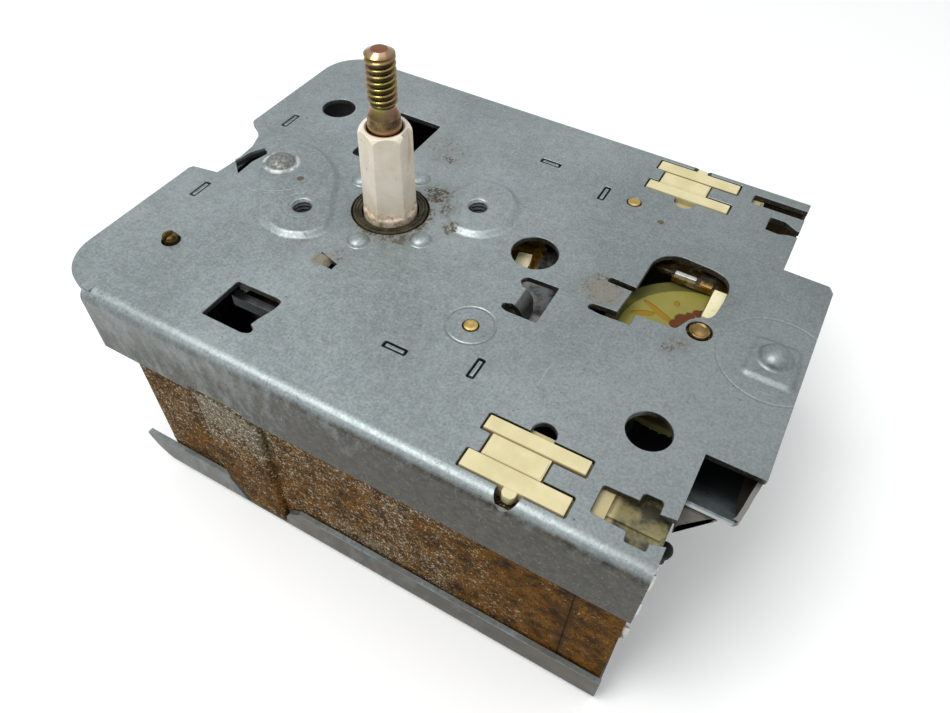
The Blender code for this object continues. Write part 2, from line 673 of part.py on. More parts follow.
def spring_points(centre, radius, low, high, turns=2.5, start=20.0, leg=3.5, steps=10):
    """The centre line of a torsion spring's wire: a leg, a helix about the pivot and another leg."""
    count = int(turns * steps)
    points = []
    for i in range(count + 1):
        points.append((*polar(radius, start + 360 * turns * i / count, centre),
                       low + (high - low) * i / count))
    first = (Vector(points[0]) - Vector(points[1])).normalized()
    last = (Vector(points[-1]) - Vector(points[-2])).normalized()
    return [tuple(Vector(points[0]) + first * leg), *points, tuple(Vector(points[-1]) + last * leg)]


def wire_body(name, points, radius, material, pivot, place):
    """A wire of round section along points, as a curve with filled caps."""
    curve = bpy.data.curves.new(name, "CURVE")
    curve.dimensions = "3D"
    curve.bevel_depth = radius * MM
    curve.bevel_resolution = 1
    curve.use_fill_caps = True
    spline = curve.splines.new("POLY")
    spline.points.add(len(points) - 1)
    for point, where in zip(spline.points, points):
        point.co = (*((Vector(where) - Vector(place)) * MM), 1.0)
    curve.materials.append(material)
    item = bpy.data.objects.new(name, curve)
    bpy.context.collection.objects.link(item)
    item.parent = pivot


def advance_group(root, pivots, parts):
    steel, brass = parts["galvanised"], parts["plated_brass"]

    def pin(name, centre, low, shoulder, radius=1.15):
        profile = [(0, low), (radius, low), (radius, shoulder), (2.2, shoulder), (2.2, INSIDE_TOP),
                   (radius, INSIDE_TOP), (radius, 0.1), (0, 0.1)]
        make_object(name, lathe(profile, centre, 16), brass, root)

    pin("detent_pin", DETENT_PIVOT, -10.2, -6.4)
    pin("lever_pin", LEVER_PIVOT, -7.6, -4.7)

    place = pivots["drive_lever"][0]
    outline = rounded([(34.6, 27.2), (34.6, 22.4, 0.5), (30.8, 21.4, 0.5), (26.4, 22.0), (24.0, 19.4),
                       (26.4, 17.0), (33.4, 17.8, 0.5), (32.8, 10.9, 0.5), (27.3, 10.5, 0.6),
                       (27.6, 4.0, 0.4), (27.4, -11.6), (35.0, -12.4), (39.4, -7.2), (41.8, -5.6, 0.4),
                       (43.1, -4.6, 0.4), (43.0, -2.1, 0.4), (38.0, -1.6, 1.0), (36.6, 1.0, 1.0),
                       (37.4, 6.0), (39.4, 16.0, 0.5), (40.8, 24.0), (40.4, 27.2),
                       (37.5, 28.0)], 2.0, 2)
    lever = make_object("drive_lever", prism(outline, -6.5, -5.1), steel, pivots["drive_lever"][1], place)
    pins = cylinder(1.0, -9.2, -2.6, PAWL_PIVOT, 12)
    combine(lever, "UNION", pins, pivots["drive_lever"][1], place)
    hole = cylinder(1.5, -9.0, -3.0, LEVER_PIVOT, 16)
    combine(lever, "DIFFERENCE", hole, pivots["drive_lever"][1], place)

    place, empty = pivots["drive_pawl"]
    outline = [(27.9, 21.1), (26.4, 21.7), (24.9, 20.6), (24.9, 18.8), (26.3, 17.5), (28.2, 13.4),
               (29.2, 9.4), (29.4, 7.6), (29.3, 6.2), (30.5, 6.4), (30.9, 9.4), (30.2, 14.0), (28.6, 18.4),
               (28.6, 20.2)]
    pawl = make_object("drive_pawl", prism(outline, -9.1, -6.9), brass, empty, place)
    combine(pawl, "DIFFERENCE", cylinder(1.3, -12.0, -3.0, PAWL_PIVOT, 12), empty, place)

    place, empty = pivots["detent_pawl"]
    outline = [(26.9, -19.5), (28.5, -18.4), (28.9, -16.6), (30.1, -12.0), (30.9, -6.5), (30.6, -3.3),
               (29.8, -2.7), (28.36, -2.9), (29.4, -4.1), (29.5, -6.3), (28.4, -11.4), (25.6, -15.9),
               (24.9, -16.6), (24.9, -18.4),
               (25.7, -19.3)]
    pawl = make_object("detent_pawl", prism(outline, -9.1, -6.9), steel, empty, place)
    combine(pawl, "DIFFERENCE", cylinder(1.45, -12.0, -3.0, DETENT_PIVOT, 12), empty, place)
    for name, centre, radius, low, high, owner in (
        ("detent_spring", DETENT_PIVOT, 2.9, -5.9, -4.3, None),
        ("lever_spring", LEVER_PIVOT, 2.9, -4.2, -2.4, None),
        ("pawl_spring", PAWL_PIVOT, 1.7, -4.5, -2.9, "drive_lever"),
    ):
        place, empty = pivots[owner] if owner else ((0.0, 0.0, 0.0), root)
        wire_body(name, spring_points(centre, radius, low, high), 0.25, parts["dark_steel"], empty, place)


def snail_radius(degrees):
    """Radius of the snail cam: an even rise, a drop and a low dwell."""
    if SNAIL_START <= degrees <= SNAIL_DROP:
        return SNAIL_LOW + (SNAIL_HIGH - SNAIL_LOW) * (degrees - SNAIL_START) / (SNAIL_DROP - SNAIL_START)
    return SNAIL_LOW


def snail_cam(root, empty, place, parts):
    facing = math.degrees(math.atan2(idler_centres()[1][1] - CAM_AXIS[1],
                                     idler_centres()[1][0] - CAM_AXIS[0]))
    wheel = prism(gear_outline(CAM_WHEEL, CAM_AXIS, facing), -14.0, -8.3)
    cam = make_object("snail_cam", wheel, parts["yellow_plastic"], empty, place)
    combine(cam, "UNION", cylinder(CAM_DISC, -8.5, -7.0, CAM_AXIS, 48), empty, place)
    rise = [SNAIL_START + (SNAIL_DROP - SNAIL_START) * i / 18 for i in range(19)]
    angles = [*rise, *(SNAIL_DROP + 1.5 + (208.5 - 12.0) * i / 15 for i in range(16))]
    snail = prism([polar(snail_radius(a), a, CAM_AXIS) for a in angles], -7.3, -4.4)
    combine(cam, "UNION", snail, empty, place)
    cover = cylinder(CAM_DISC, -4.8, -4.2, CAM_AXIS, 48)
    combine(cam, "UNION", cylinder(CAM_FACE, -4.5, -4.0, CAM_AXIS, 48, cover), empty, place)
    combine(cam, "DIFFERENCE", cylinder(1.5, -20.0, 0.0, CAM_AXIS, 16), empty, place)
    arbor = [(0, -14.6), (1.2, -14.6), (1.2, -3.6), (2.6, -3.6), (2.6, INSIDE_TOP), (1.9, INSIDE_TOP),
             (1.9, 0.2), (0, 0.2)]
    make_object("cam_arbor", lathe(arbor, CAM_AXIS, 20), parts["plated_brass"], root)


# Motor and gear train


def idler_centres():
    """Centres of the two idler gears: each lies one centre distance from its neighbours in the train."""
    second = polar(CAM_PITCH, -120, CAM_AXIS)
    between = Vector(second) - Vector(MOTOR_AXIS)
    height = math.sqrt(WHEEL_PITCH**2 - (between.length / 2) ** 2)
    normal = Vector((between.y, -between.x)).normalized()
    first = Vector(MOTOR_AXIS) + between / 2 + normal * height
    return tuple(first), second


def heading(start, end):
    return math.degrees(math.atan2(end[1] - start[1], end[0] - start[0]))


def gear_train(root, pivots, parts):
    first, second = idler_centres()
    gears = (
        ("idler_gear_1", first, MOTOR_AXIS, second, (-23.5, -21.5), (-21.7, -17.3)),
        ("idler_gear_2", second, first, CAM_AXIS, (-19.5, -17.5), (-17.7, -9.3)),
    )
    for name, centre, before, after, wheel_span, pinion_span in gears:
        place, empty = pivots[name]
        facing = heading(centre, before) + 180 / WHEEL
        wheel = prism(gear_outline(WHEEL, centre, facing), *wheel_span)
        item = make_object(name, wheel, parts["plated_brass"], empty, place)
        facing = heading(centre, after) + (180 / PINION if name == "idler_gear_2" else 0)
        combine(item, "UNION", prism(gear_outline(PINION, centre, facing), *pinion_span), empty, place)
        combine(item, "DIFFERENCE", cylinder(1.1, -30.0, 0.0, centre, 12), empty, place)
        top = pinion_span[1] + 0.3
        foot = COVER_TOP + GAP
        profile = [(0, -26.8), (0.8, -26.8), (0.8, foot), (1.6, foot), (1.6, foot + 0.4), (0.8, foot + 0.4),
                   (0.8, top), (0, top)]
        make_object(name.replace("gear", "pin"), lathe(profile, centre, 12), parts["dark_steel"], root)


def motor(root, pivots, parts):
    first, second = idler_centres()
    low = INSIDE_LOW
    can = [(0, low), (CAN, low), (CAN, CAN_TOP), (CAN - 0.8, CAN_TOP), (CAN - 0.8, low + 0.8),
           (0, low + 0.8)]
    make_object("motor_can", lathe(can, MOTOR_AXIS, 32), parts["galvanised"], root)
    coil = [(9.6, -46.2), (14.6, -46.2), (14.6, -28.0), (9.6, -28.0)]
    make_object("motor_coil", lathe(coil, MOTOR_AXIS, 24), parts["copper_coil"], root)
    cover = make_object("motor_cover", cylinder(CAN, CAN_TOP + GAP, COVER_TOP, MOTOR_AXIS, 32),
                        parts["galvanised"], root)
    holes = cylinder(3.6, -30.0, -20.0, MOTOR_AXIS, 16)
    for centre in (first, second):
        cylinder(1.1, -30.0, -20.0, centre, 12, holes)
    combine(cover, "DIFFERENCE", holes, root)

    place, empty = pivots["motor_rotor"]
    profile = [(0, -46.6), (1.0, -46.6), (1.0, -44.5), (8.8, -44.5), (8.8, -29.5), (1.0, -29.5),
               (1.0, -20.9), (0, -20.9)]
    rotor = make_object("motor_rotor", lathe(profile, MOTOR_AXIS, 24), parts["magnet"], empty, place)
    facing = heading(MOTOR_AXIS, first)
    combine(rotor, "UNION", prism(gear_outline(PINION, MOTOR_AXIS, facing), -23.9, -21.2), empty, place)


# Switches


def mirrored(points, side):
    return points if side > 0 else [(x, -y) for x, y in reversed(points)]


def switch_block(name, side, levels, root, parts):
    """A moulded block that holds one side's blades and locks into the front plate by its H-shaped foot."""
    body = [(BLOCK_LEFT, BLOCK_IN), (BLOCK_RIGHT, BLOCK_IN), (BLOCK_RIGHT, BLOCK_OUT - 1.4),
            (SHELF_RIGHT, BLOCK_OUT - 1.4), (SHELF_RIGHT, BLOCK_OUT), (BLOCK_LEFT, BLOCK_OUT)]
    item = make_object(name, prism(mirrored(body, side), INSIDE_LOW, INSIDE_TOP), parts["cream_plastic"],
                       root)
    foot = prism(foot_outline(side), INSIDE_TOP - 0.5, 0.05)
    combine(item, "UNION", foot, root)
    nub = [(44.6, BLOCK_OUT - 0.4), (46.6, BLOCK_OUT - 0.4), (46.6, 42.2), (46.1, 42.9), (45.1, 42.9),
           (44.6, 42.2)]
    combine(item, "UNION", prism(mirrored(nub, side), INSIDE_TOP - 0.6, -0.1), root)
    shelves = bmesh.new()
    for high, low in zip(levels, levels[1:]):
        middle = (high + low) / 2
        ends = sorted((side * (BLOCK_IN + 0.6), side * (BLOCK_OUT - 0.7)))
        box(BLOCK_RIGHT - 0.5, SHELF_RIGHT - 0.6, *ends, middle - 0.6, middle + 0.6, shelves)
    combine(item, "UNION", shelves, root)
    if side < 0:
        lid = box(BLOCK_RIGHT - 0.6, SHELF_RIGHT + 0.95, -BLOCK_OUT + 0.9, -BLOCK_IN - 0.8, -3.6, -2.6)
        combine(item, "UNION", lid, root)
        combine(item, "UNION", box(BLOCK_RIGHT - 0.3, SHELF_RIGHT - 0.8, -36.4, -35.8, -3.2, -2.1), root)
    else:
        relief = box(BLOCK_RIGHT + 0.6, SHELF_RIGHT + 1, BLOCK_OUT - 3, BLOCK_OUT + 1, -16.0, 0.0)
        combine(item, "DIFFERENCE", relief, root)
    slots = bmesh.new()
    for level in levels:
        for blade_y in (TERMINAL_Y, CONTACT_Y):
            ends = sorted((side * (blade_y - BLADE / 2 - GAP), side * (blade_y + BLADE / 2 + GAP)))
            box(BLOCK_LEFT - 1, BLOCK_RIGHT + 0.2, *ends, level - BLADE_HALF - GAP, level + BLADE_HALF + GAP,
                slots)
    combine(item, "DIFFERENCE", slots, root)


def blades(side_name, side, index, level, pivot, place, root, parts):
    """The cam arm, its terminal and the fixed contact blade of one circuit."""
    low, high = level - BLADE_HALF, level + BLADE_HALF
    reach = CAM_LOW + GAP + ARM / 2
    arm = strip([(ARM_TIP, ARM_Y), (-2.6, ARM_Y), (-0.7, reach), (0.7, reach), (2.6, ARM_Y),
                 (ARM_ROOT, ARM_Y)], ARM)
    face = ARM_Y + ARM / 2
    tip = next(i for i, point in enumerate(arm) if point == max(arm, key=lambda p: (p[1], -p[0])))
    button = [(-3.8, face), (-4.2, face + 0.9), (-5.8, face + 0.9), (-6.2, face)]
    arm = arm[: tip + 1] + button[::-1] + arm[tip + 1 :]
    name = f"{side_name}_cam_arm_{index}"
    make_object(name, prism(mirrored(arm[::-1], side), low, high), parts["bronze_blade"], pivot, place)

    tab = [(33.5, TERMINAL_Y - BLADE / 2), (TAB_END - 0.8, TERMINAL_Y - BLADE / 2), (TAB_END, TERMINAL_Y),
           (TAB_END - 0.8, TERMINAL_Y + BLADE / 2), (33.5, TERMINAL_Y + BLADE / 2)]
    name = f"{side_name}_terminal_{index}"
    make_object(name, prism(mirrored(tab, side), low, high), parts["plated_brass"], root)

    in_y, out_y = CONTACT_Y - BLADE / 2, CONTACT_Y + BLADE / 2
    fixed = [(ARM_TIP, in_y), (-6.2, in_y), (-5.8, in_y - 1.0), (-4.2, in_y - 1.0), (-3.8, in_y),
             (TAB_END - 0.8, in_y), (TAB_END, CONTACT_Y), (TAB_END - 0.8, out_y), (ARM_TIP, out_y)]
    name = f"{side_name}_contact_{index}"
    make_object(name, prism(mirrored(fixed, side), low, high), parts["plated_brass"], root)


# Line switch


def line_switch(root, pivots, parts):
    place, empty = pivots["line_lever"]
    # The lever's frame has u along the line from the shaft to the switch, and w along the shaft.
    along = Vector((math.cos(LINE_ANGLE), math.sin(LINE_ANGLE), 0.0))
    across = Vector((-along.y, along.x, 0.0))

    def standing(u, w, v):
        spot = along * u + across * v
        return (spot.x, spot.y, w)

    path = [(-2.2, -45.6), (23.0, -45.6), (25.6, -43.4), (31.4, -43.4), (33.2, -39.4),
            (LEVER_REACH + 2.0, -39.4)]
    lever = make_object("line_lever", prism(strip(path, 1.2), -1.8, 1.8, standing), parts["galvanised"],
                        empty, place)
    ears = [(LEVER_FULCRUM - 1.4, -45.3), (LEVER_FULCRUM + 1.4, -45.3), (LEVER_FULCRUM + 1.4, -42.6),
            (LEVER_FULCRUM - 1.4, -42.6)]
    combine(lever, "UNION", prism(ears, -1.8, 1.8, standing), empty, place)
    bore = [(u, w) for u, w in circle(0.95, (LEVER_FULCRUM, -43.9), 12)]
    combine(lever, "DIFFERENCE", prism(bore, -5.0, 5.0, standing), empty, place)
    pin = circle(0.6, (LEVER_FULCRUM, -43.9), 12)
    make_object("line_lever_pin", prism(pin, -4.6, 4.6, standing), parts["dark_steel"], root)

    base = [(LEVER_FULCRUM - 3.0, INSIDE_LOW), (LEVER_FULCRUM + 3.0, INSIDE_LOW),
            (LEVER_FULCRUM + 3.0, INSIDE_LOW + 0.7), (LEVER_FULCRUM - 3.0, INSIDE_LOW + 0.7)]
    yoke = make_object("line_lever_yoke", prism(base, -4.2, 4.2, standing), parts["galvanised"], root)
    cheek = [(LEVER_FULCRUM - 3.0, INSIDE_LOW), (LEVER_FULCRUM + 3.0, INSIDE_LOW),
             (LEVER_FULCRUM + 1.6, -42.0), (LEVER_FULCRUM - 1.6, -42.0)]
    cheeks = prism(cheek, -4.2, -3.4, standing)
    combine(yoke, "UNION", prism(cheek, 3.4, 4.2, standing, cheeks), root)
    combine(yoke, "DIFFERENCE", prism(circle(0.9, (LEVER_FULCRUM, -43.9), 12), -6.0, 6.0, standing), root)

    def flat(u, v, w):
        spot = along * u + across * v
        return (spot.x, spot.y, w)

    case = prism(rectangle(33.4, 45.2, -5.4, 5.4), -34.0, -10.0, flat)
    block = make_object("line_switch_body", case, parts["black_plastic"], root)
    well = prism(rectangle(LEVER_REACH - 2.0, LEVER_REACH + 2.0, -2.0, 2.0), -36.0, -24.0, flat)
    for v0, v1 in ((-4.9, -0.6), (0.6, 4.9)):
        prism(rectangle(42.2, 43.3, v0, v1), -36.0, -21.7, flat, well)
    combine(block, "DIFFERENCE", well, root)
    for index, (v0, v1) in enumerate(((-4.6, -0.9), (0.9, 4.6)), 1):
        tab = prism(rectangle(42.5, 43.0, v0, v1), -41.0, -22.0, flat)
        make_object(f"line_terminal_{index}", tab, parts["plated_brass"], root)
    spot = along * LEVER_REACH
    plunger = [(0, -38.4), (0.9, -38.4), (1.6, -37.8), (1.6, -26.0), (0, -26.0)]
    place, empty = pivots["line_plunger"]
    make_object("line_plunger", lathe(plunger, (spot.x, spot.y), 12), parts["white_plastic"], empty, place)
    post = [(0, -9.7), (2.6, -9.7), (2.6, INSIDE_TOP), (1.35, INSIDE_TOP), (1.35, 1.3), (0, 1.3)]
    item = make_object("line_switch_post", lathe(post, LINE_POST, 16), parts["plated_brass"], root)
    across_post = box(LINE_POST[0] - 0.25, LINE_POST[0] + 0.25, LINE_POST[1] - 3, LINE_POST[1] + 3, 0.3, 2.0)
    combine(item, "DIFFERENCE", across_post, root)


def small_fittings(root, parts):
    """The dark button at the right-hand end, beside the front switch block."""
    stop = [(0, -9.0), (0.7, -9.0), (0.7, -7.2), (1.1, -6.8), (1.25, -6.0), (0.9, -5.1), (0, -4.8)]
    make_object("lead_stop", lathe(stop, (66.8, -35.1), 16), parts["black_plastic"], root)


def main():
    clear_scene()
    parts = {name: make_material(name) for name in COLOURS}
    root = make_empty("timer", (-MID_X, 0.0, DEPTH))
    first, second = idler_centres()
    lever_spot = polar(LEVER_FULCRUM, math.degrees(LINE_ANGLE))
    plunger_spot = polar(LEVER_REACH, math.degrees(LINE_ANGLE))
    spots = {
        "cam_drum": (0.0, 0.0, 0.0),
        "pull_stud": (0.0, 0.0, 0.0),
        "snail_cam": (*CAM_AXIS, 0.0),
        "motor_rotor": (*MOTOR_AXIS, 0.0),
        "idler_gear_1": (*first, 0.0),
        "idler_gear_2": (*second, 0.0),
        "drive_lever": (*LEVER_PIVOT, 0.0),
        "drive_pawl": (*PAWL_PIVOT, 0.0),
        "detent_pawl": (*DETENT_PIVOT, 0.0),
        "line_lever": (*lever_spot, -43.9),
        "line_plunger": (*plunger_spot, 0.0),
        "front_arms": (ARM_ROOT, -ARM_Y, 0.0),
        "back_arms": (ARM_ROOT, ARM_Y, 0.0),
    }
    pivots = {name: (place, make_empty(f"{name}_axis", place, root)) for name, place in spots.items()}

    front_plate(root, parts["galvanised"])
    rear_plate(root, parts["galvanised"])
    side_wall("front_wall", -1, root, parts["rusted_steel"])
    side_wall("back_wall", 1, root, parts["rusted_steel"])
    brackets(root, parts["galvanised"])
    end_wall(root, parts["galvanised"])
    end_bracket(root, parts["dark_steel"])
    cam_bracket(root, parts["galvanised"])
    shaft_group(root, pivots["cam_drum"][1], pivots["pull_stud"][1], parts)
    drum_group(pivots["cam_drum"][1], parts)
    advance_group(root, pivots, parts)
    snail_cam(root, pivots["snail_cam"][1], pivots["snail_cam"][0], parts)
    gear_train(root, pivots, parts)
    motor(root, pivots, parts)
    for side_name, side, levels in (("front", -1, LEVELS), ("back", 1, LEVELS[::2])):
        switch_block(f"{side_name}_switch_block", side, levels, root, parts)
        place, empty = pivots[f"{side_name}_arms"]
        for index, level in enumerate(levels, 1):
            blades(side_name, side, index, level, empty, place, root, parts)
    line_switch(root, pivots, parts)
    small_fittings(root, parts)


main()
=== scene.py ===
"""Looks of the programmable timer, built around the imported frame.

Shapes are drawn in millimetres in the shaft's own frame, as the CAD is: x runs along the plates, y across
them, and z along the shaft from the front plate's outer face. piece() moves each one to the frame's metres.
"""

import math

import bmesh
import bpy
from mathutils import Matrix, Vector


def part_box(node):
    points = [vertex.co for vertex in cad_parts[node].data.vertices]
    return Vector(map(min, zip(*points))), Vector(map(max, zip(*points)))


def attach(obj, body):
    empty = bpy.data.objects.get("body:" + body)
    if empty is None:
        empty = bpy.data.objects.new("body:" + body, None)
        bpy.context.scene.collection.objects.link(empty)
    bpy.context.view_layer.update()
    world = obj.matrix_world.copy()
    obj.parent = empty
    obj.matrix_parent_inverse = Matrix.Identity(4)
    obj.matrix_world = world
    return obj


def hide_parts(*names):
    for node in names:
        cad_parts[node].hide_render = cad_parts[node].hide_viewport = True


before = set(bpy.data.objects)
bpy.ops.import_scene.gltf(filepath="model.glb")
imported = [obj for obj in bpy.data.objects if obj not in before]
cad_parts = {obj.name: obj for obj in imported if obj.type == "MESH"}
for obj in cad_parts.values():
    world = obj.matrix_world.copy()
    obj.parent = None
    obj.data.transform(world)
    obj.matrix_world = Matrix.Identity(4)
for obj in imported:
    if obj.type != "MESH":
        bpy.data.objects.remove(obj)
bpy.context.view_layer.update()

MM = 0.001
STUD_TOP = 30.4
stud_low, stud_high = (Vector(corner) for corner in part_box("pull_stud"))
ORIGIN = Vector(((stud_low.x + stud_high.x) / 2, (stud_low.y + stud_high.y) / 2,
                 stud_high.z - STUD_TOP * MM))

# Case
LEFT = -39.4
RIGHT = 66.5
TONGUE_RIGHT = 75.2
HALF_WIDTH = 43.3
SHEET = 1.0
BEND = 2.3
FLANGE_LEFT = -31.8
FRONT_FLANGE = 13.8
REAR_FLANGE = 8.4
DEPTH = 49.0
CORNER = 9.0
GAP = 0.3
INSIDE_TOP = -SHEET - GAP
INSIDE_LOW = -DEPTH + SHEET + GAP
WALL_SEAM = 58.12
WALL_OUT = HALF_WIDTH - SHEET - GAP
WALL = 0.9
BRACKET = 0.7
BEYOND = 50.0
PAD_RISE = 0.8
MOUNT_X = 31.75 / 2 * math.cos(math.radians(31.1))
MOUNT_Y = 31.75 / 2 * math.sin(math.radians(31.1))
CAM_AXIS = (58.4, 0.0)
LEVER_PIVOT = (37.5, 25.2)
DETENT_PIVOT = (26.6, -17.5)
LINE_POST = (-27.6, -26.5)
DOMES = ((-24.8, 0.0), (70.4, 0.0))

# Camera, as it stands to the shaft
CAMERA_PLACE = (63.86, -88.07, 86.80)
CAMERA_RIGHT = (0.872526, 0.487665, 0.029689)
CAMERA_DOWN = (0.389443, -0.657523, -0.644978)
CAMERA_AHEAD = (-0.295012, 0.574322, -0.763624)
LENS = 28.308


# Node materials


class Shader:
    """One node material. Its methods return sockets, and every place and size in them is in millimetres."""

    def __init__(self, name, roughness=0.5, metallic=0.0, coat=0.0, specular=0.5, soft=0.0):
        self.material = bpy.data.materials.new(name)
        self.material.use_nodes = True
        self.tree = self.material.node_tree
        self.surface = self.tree.nodes["Principled BSDF"]
        for socket, number in (("Roughness", roughness), ("Metallic", metallic), ("Coat Weight", coat),
                               ("Specular IOR Level", specular), ("Subsurface Weight", soft)):
            self.surface.inputs[socket].default_value = number
        if soft:
            self.surface.inputs["Subsurface Scale"].default_value = MM
        self.place = self.add("Mapping", {"Vector": self.add("TexCoord", {}, "Object"),
                                          "Scale": (1 / MM,) * 3, "Location": tuple(-ORIGIN / MM)})

    def feed(self, socket, value):
        if isinstance(value, bpy.types.NodeSocket):
            self.tree.links.new(value, socket)
        elif isinstance(value, tuple) and len(value) == 3 and socket.type == "RGBA":
            socket.default_value = (*value, 1.0)
        else:
            socket.default_value = value

    def add(self, kind, inputs, output=0, **settings):
        """One output of a new node. Its settings come first, because they decide which sockets it has."""
        node = self.tree.nodes.new("ShaderNode" + kind)
        for name, value in settings.items():
            setattr(node, name, value)
        for key, value in inputs.items():
            self.feed(node.inputs[key], value)
        return node.outputs[output]

    def maths(self, operation, first, second=0.0):
        return self.add("Math", {0: first, 1: second}, operation=operation)

    def plus(self, first, second):
        return self.maths("ADD", first, second)

    def minus(self, first, second):
        return self.maths("SUBTRACT", first, second)

    def times(self, first, second):
        return self.maths("MULTIPLY", first, second)

    def most(self, first, second):
        return self.maths("MAXIMUM", first, second)

    def magnitude(self, value):
        return self.maths("ABSOLUTE", value)

    def noise(self, size, detail=3.0, seed=0.0, stretch=None, turn=0.0, roughness=0.55):
        """Fractal noise whose largest features are about size millimetres across."""
        place = self.place
        if stretch:
            place = self.add("Mapping", {"Vector": place, "Scale": stretch, "Rotation": (0.0, 0.0, turn)})
        return self.add("TexNoise", {"Vector": place, "W": seed, "Scale": 1 / size, "Detail": detail,
                                     "Roughness": roughness}, "Fac", noise_dimensions="4D")

    def cells(self, size, seed):
        return self.add("TexVoronoi", {"Vector": self.place, "W": seed, "Scale": 1 / size}, "Distance",
                        voronoi_dimensions="4D")

    def between(self, value, low, high, to_low=0.0, to_high=1.0):
        """A smooth step of value from low to high."""
        return self.add("MapRange", {"Value": value, "From Min": low, "From Max": high, "To Min": to_low,
                                     "To Max": to_high}, "Result", interpolation_type="SMOOTHSTEP")

    def patch(self, size, detail, seed, low, high, to_low=0.0, to_high=1.0, **more):
        """A smooth step of noise: patches about size millimetres across."""
        return self.between(self.noise(size, detail, seed, **more), low, high, to_low, to_high)

    def mix(self, share, first, second):
        return self.add("Mix", {"Factor": share, "A": first, "B": second}, "Result", data_type="RGBA")

    def distance(self, centre, scale=(1.0, 1.0), turn=0.0):
        """Distance from an upright line through the centre, with x and y weighted after a turn."""
        shifted = self.add("Mapping", {"Vector": self.place, "Location": (*centre, 0.0),
                                       "Rotation": (0.0, 0.0, turn)}, vector_type="TEXTURE")
        weighed = self.add("VectorMath", {0: shifted, 1: (*scale, 0.0)}, operation="MULTIPLY")
        return self.add("VectorMath", {0: weighed}, "Value", operation="LENGTH")

    def spot(self, centre, radius, soft):
        """1 inside the radius, falling to 0 over the soft width."""
        return self.between(self.distance(centre), radius, radius + soft, 1.0, 0.0)

    def axis(self, index):
        return self.add("SeparateXYZ", {0: self.place}, index)

    def facing(self, index):
        """How far the surface's normal points along one axis."""
        return self.add("SeparateXYZ", {0: self.add("NewGeometry", {}, "Normal")}, index)

    def bump(self, height, depth, onto=None):
        normal = {} if onto is None else {"Normal": onto}
        return self.add("Bump", {"Height": height, "Distance": depth * MM, "Strength": 1.0, **normal})

    def finish(self, colour, roughness=None, metallic=None, normal=None):
        for socket, value in (("Base Color", colour), ("Roughness", roughness), ("Metallic", metallic),
                              ("Normal", normal)):
            if value is not None:
                self.feed(self.surface.inputs[socket], value)
        return self.material


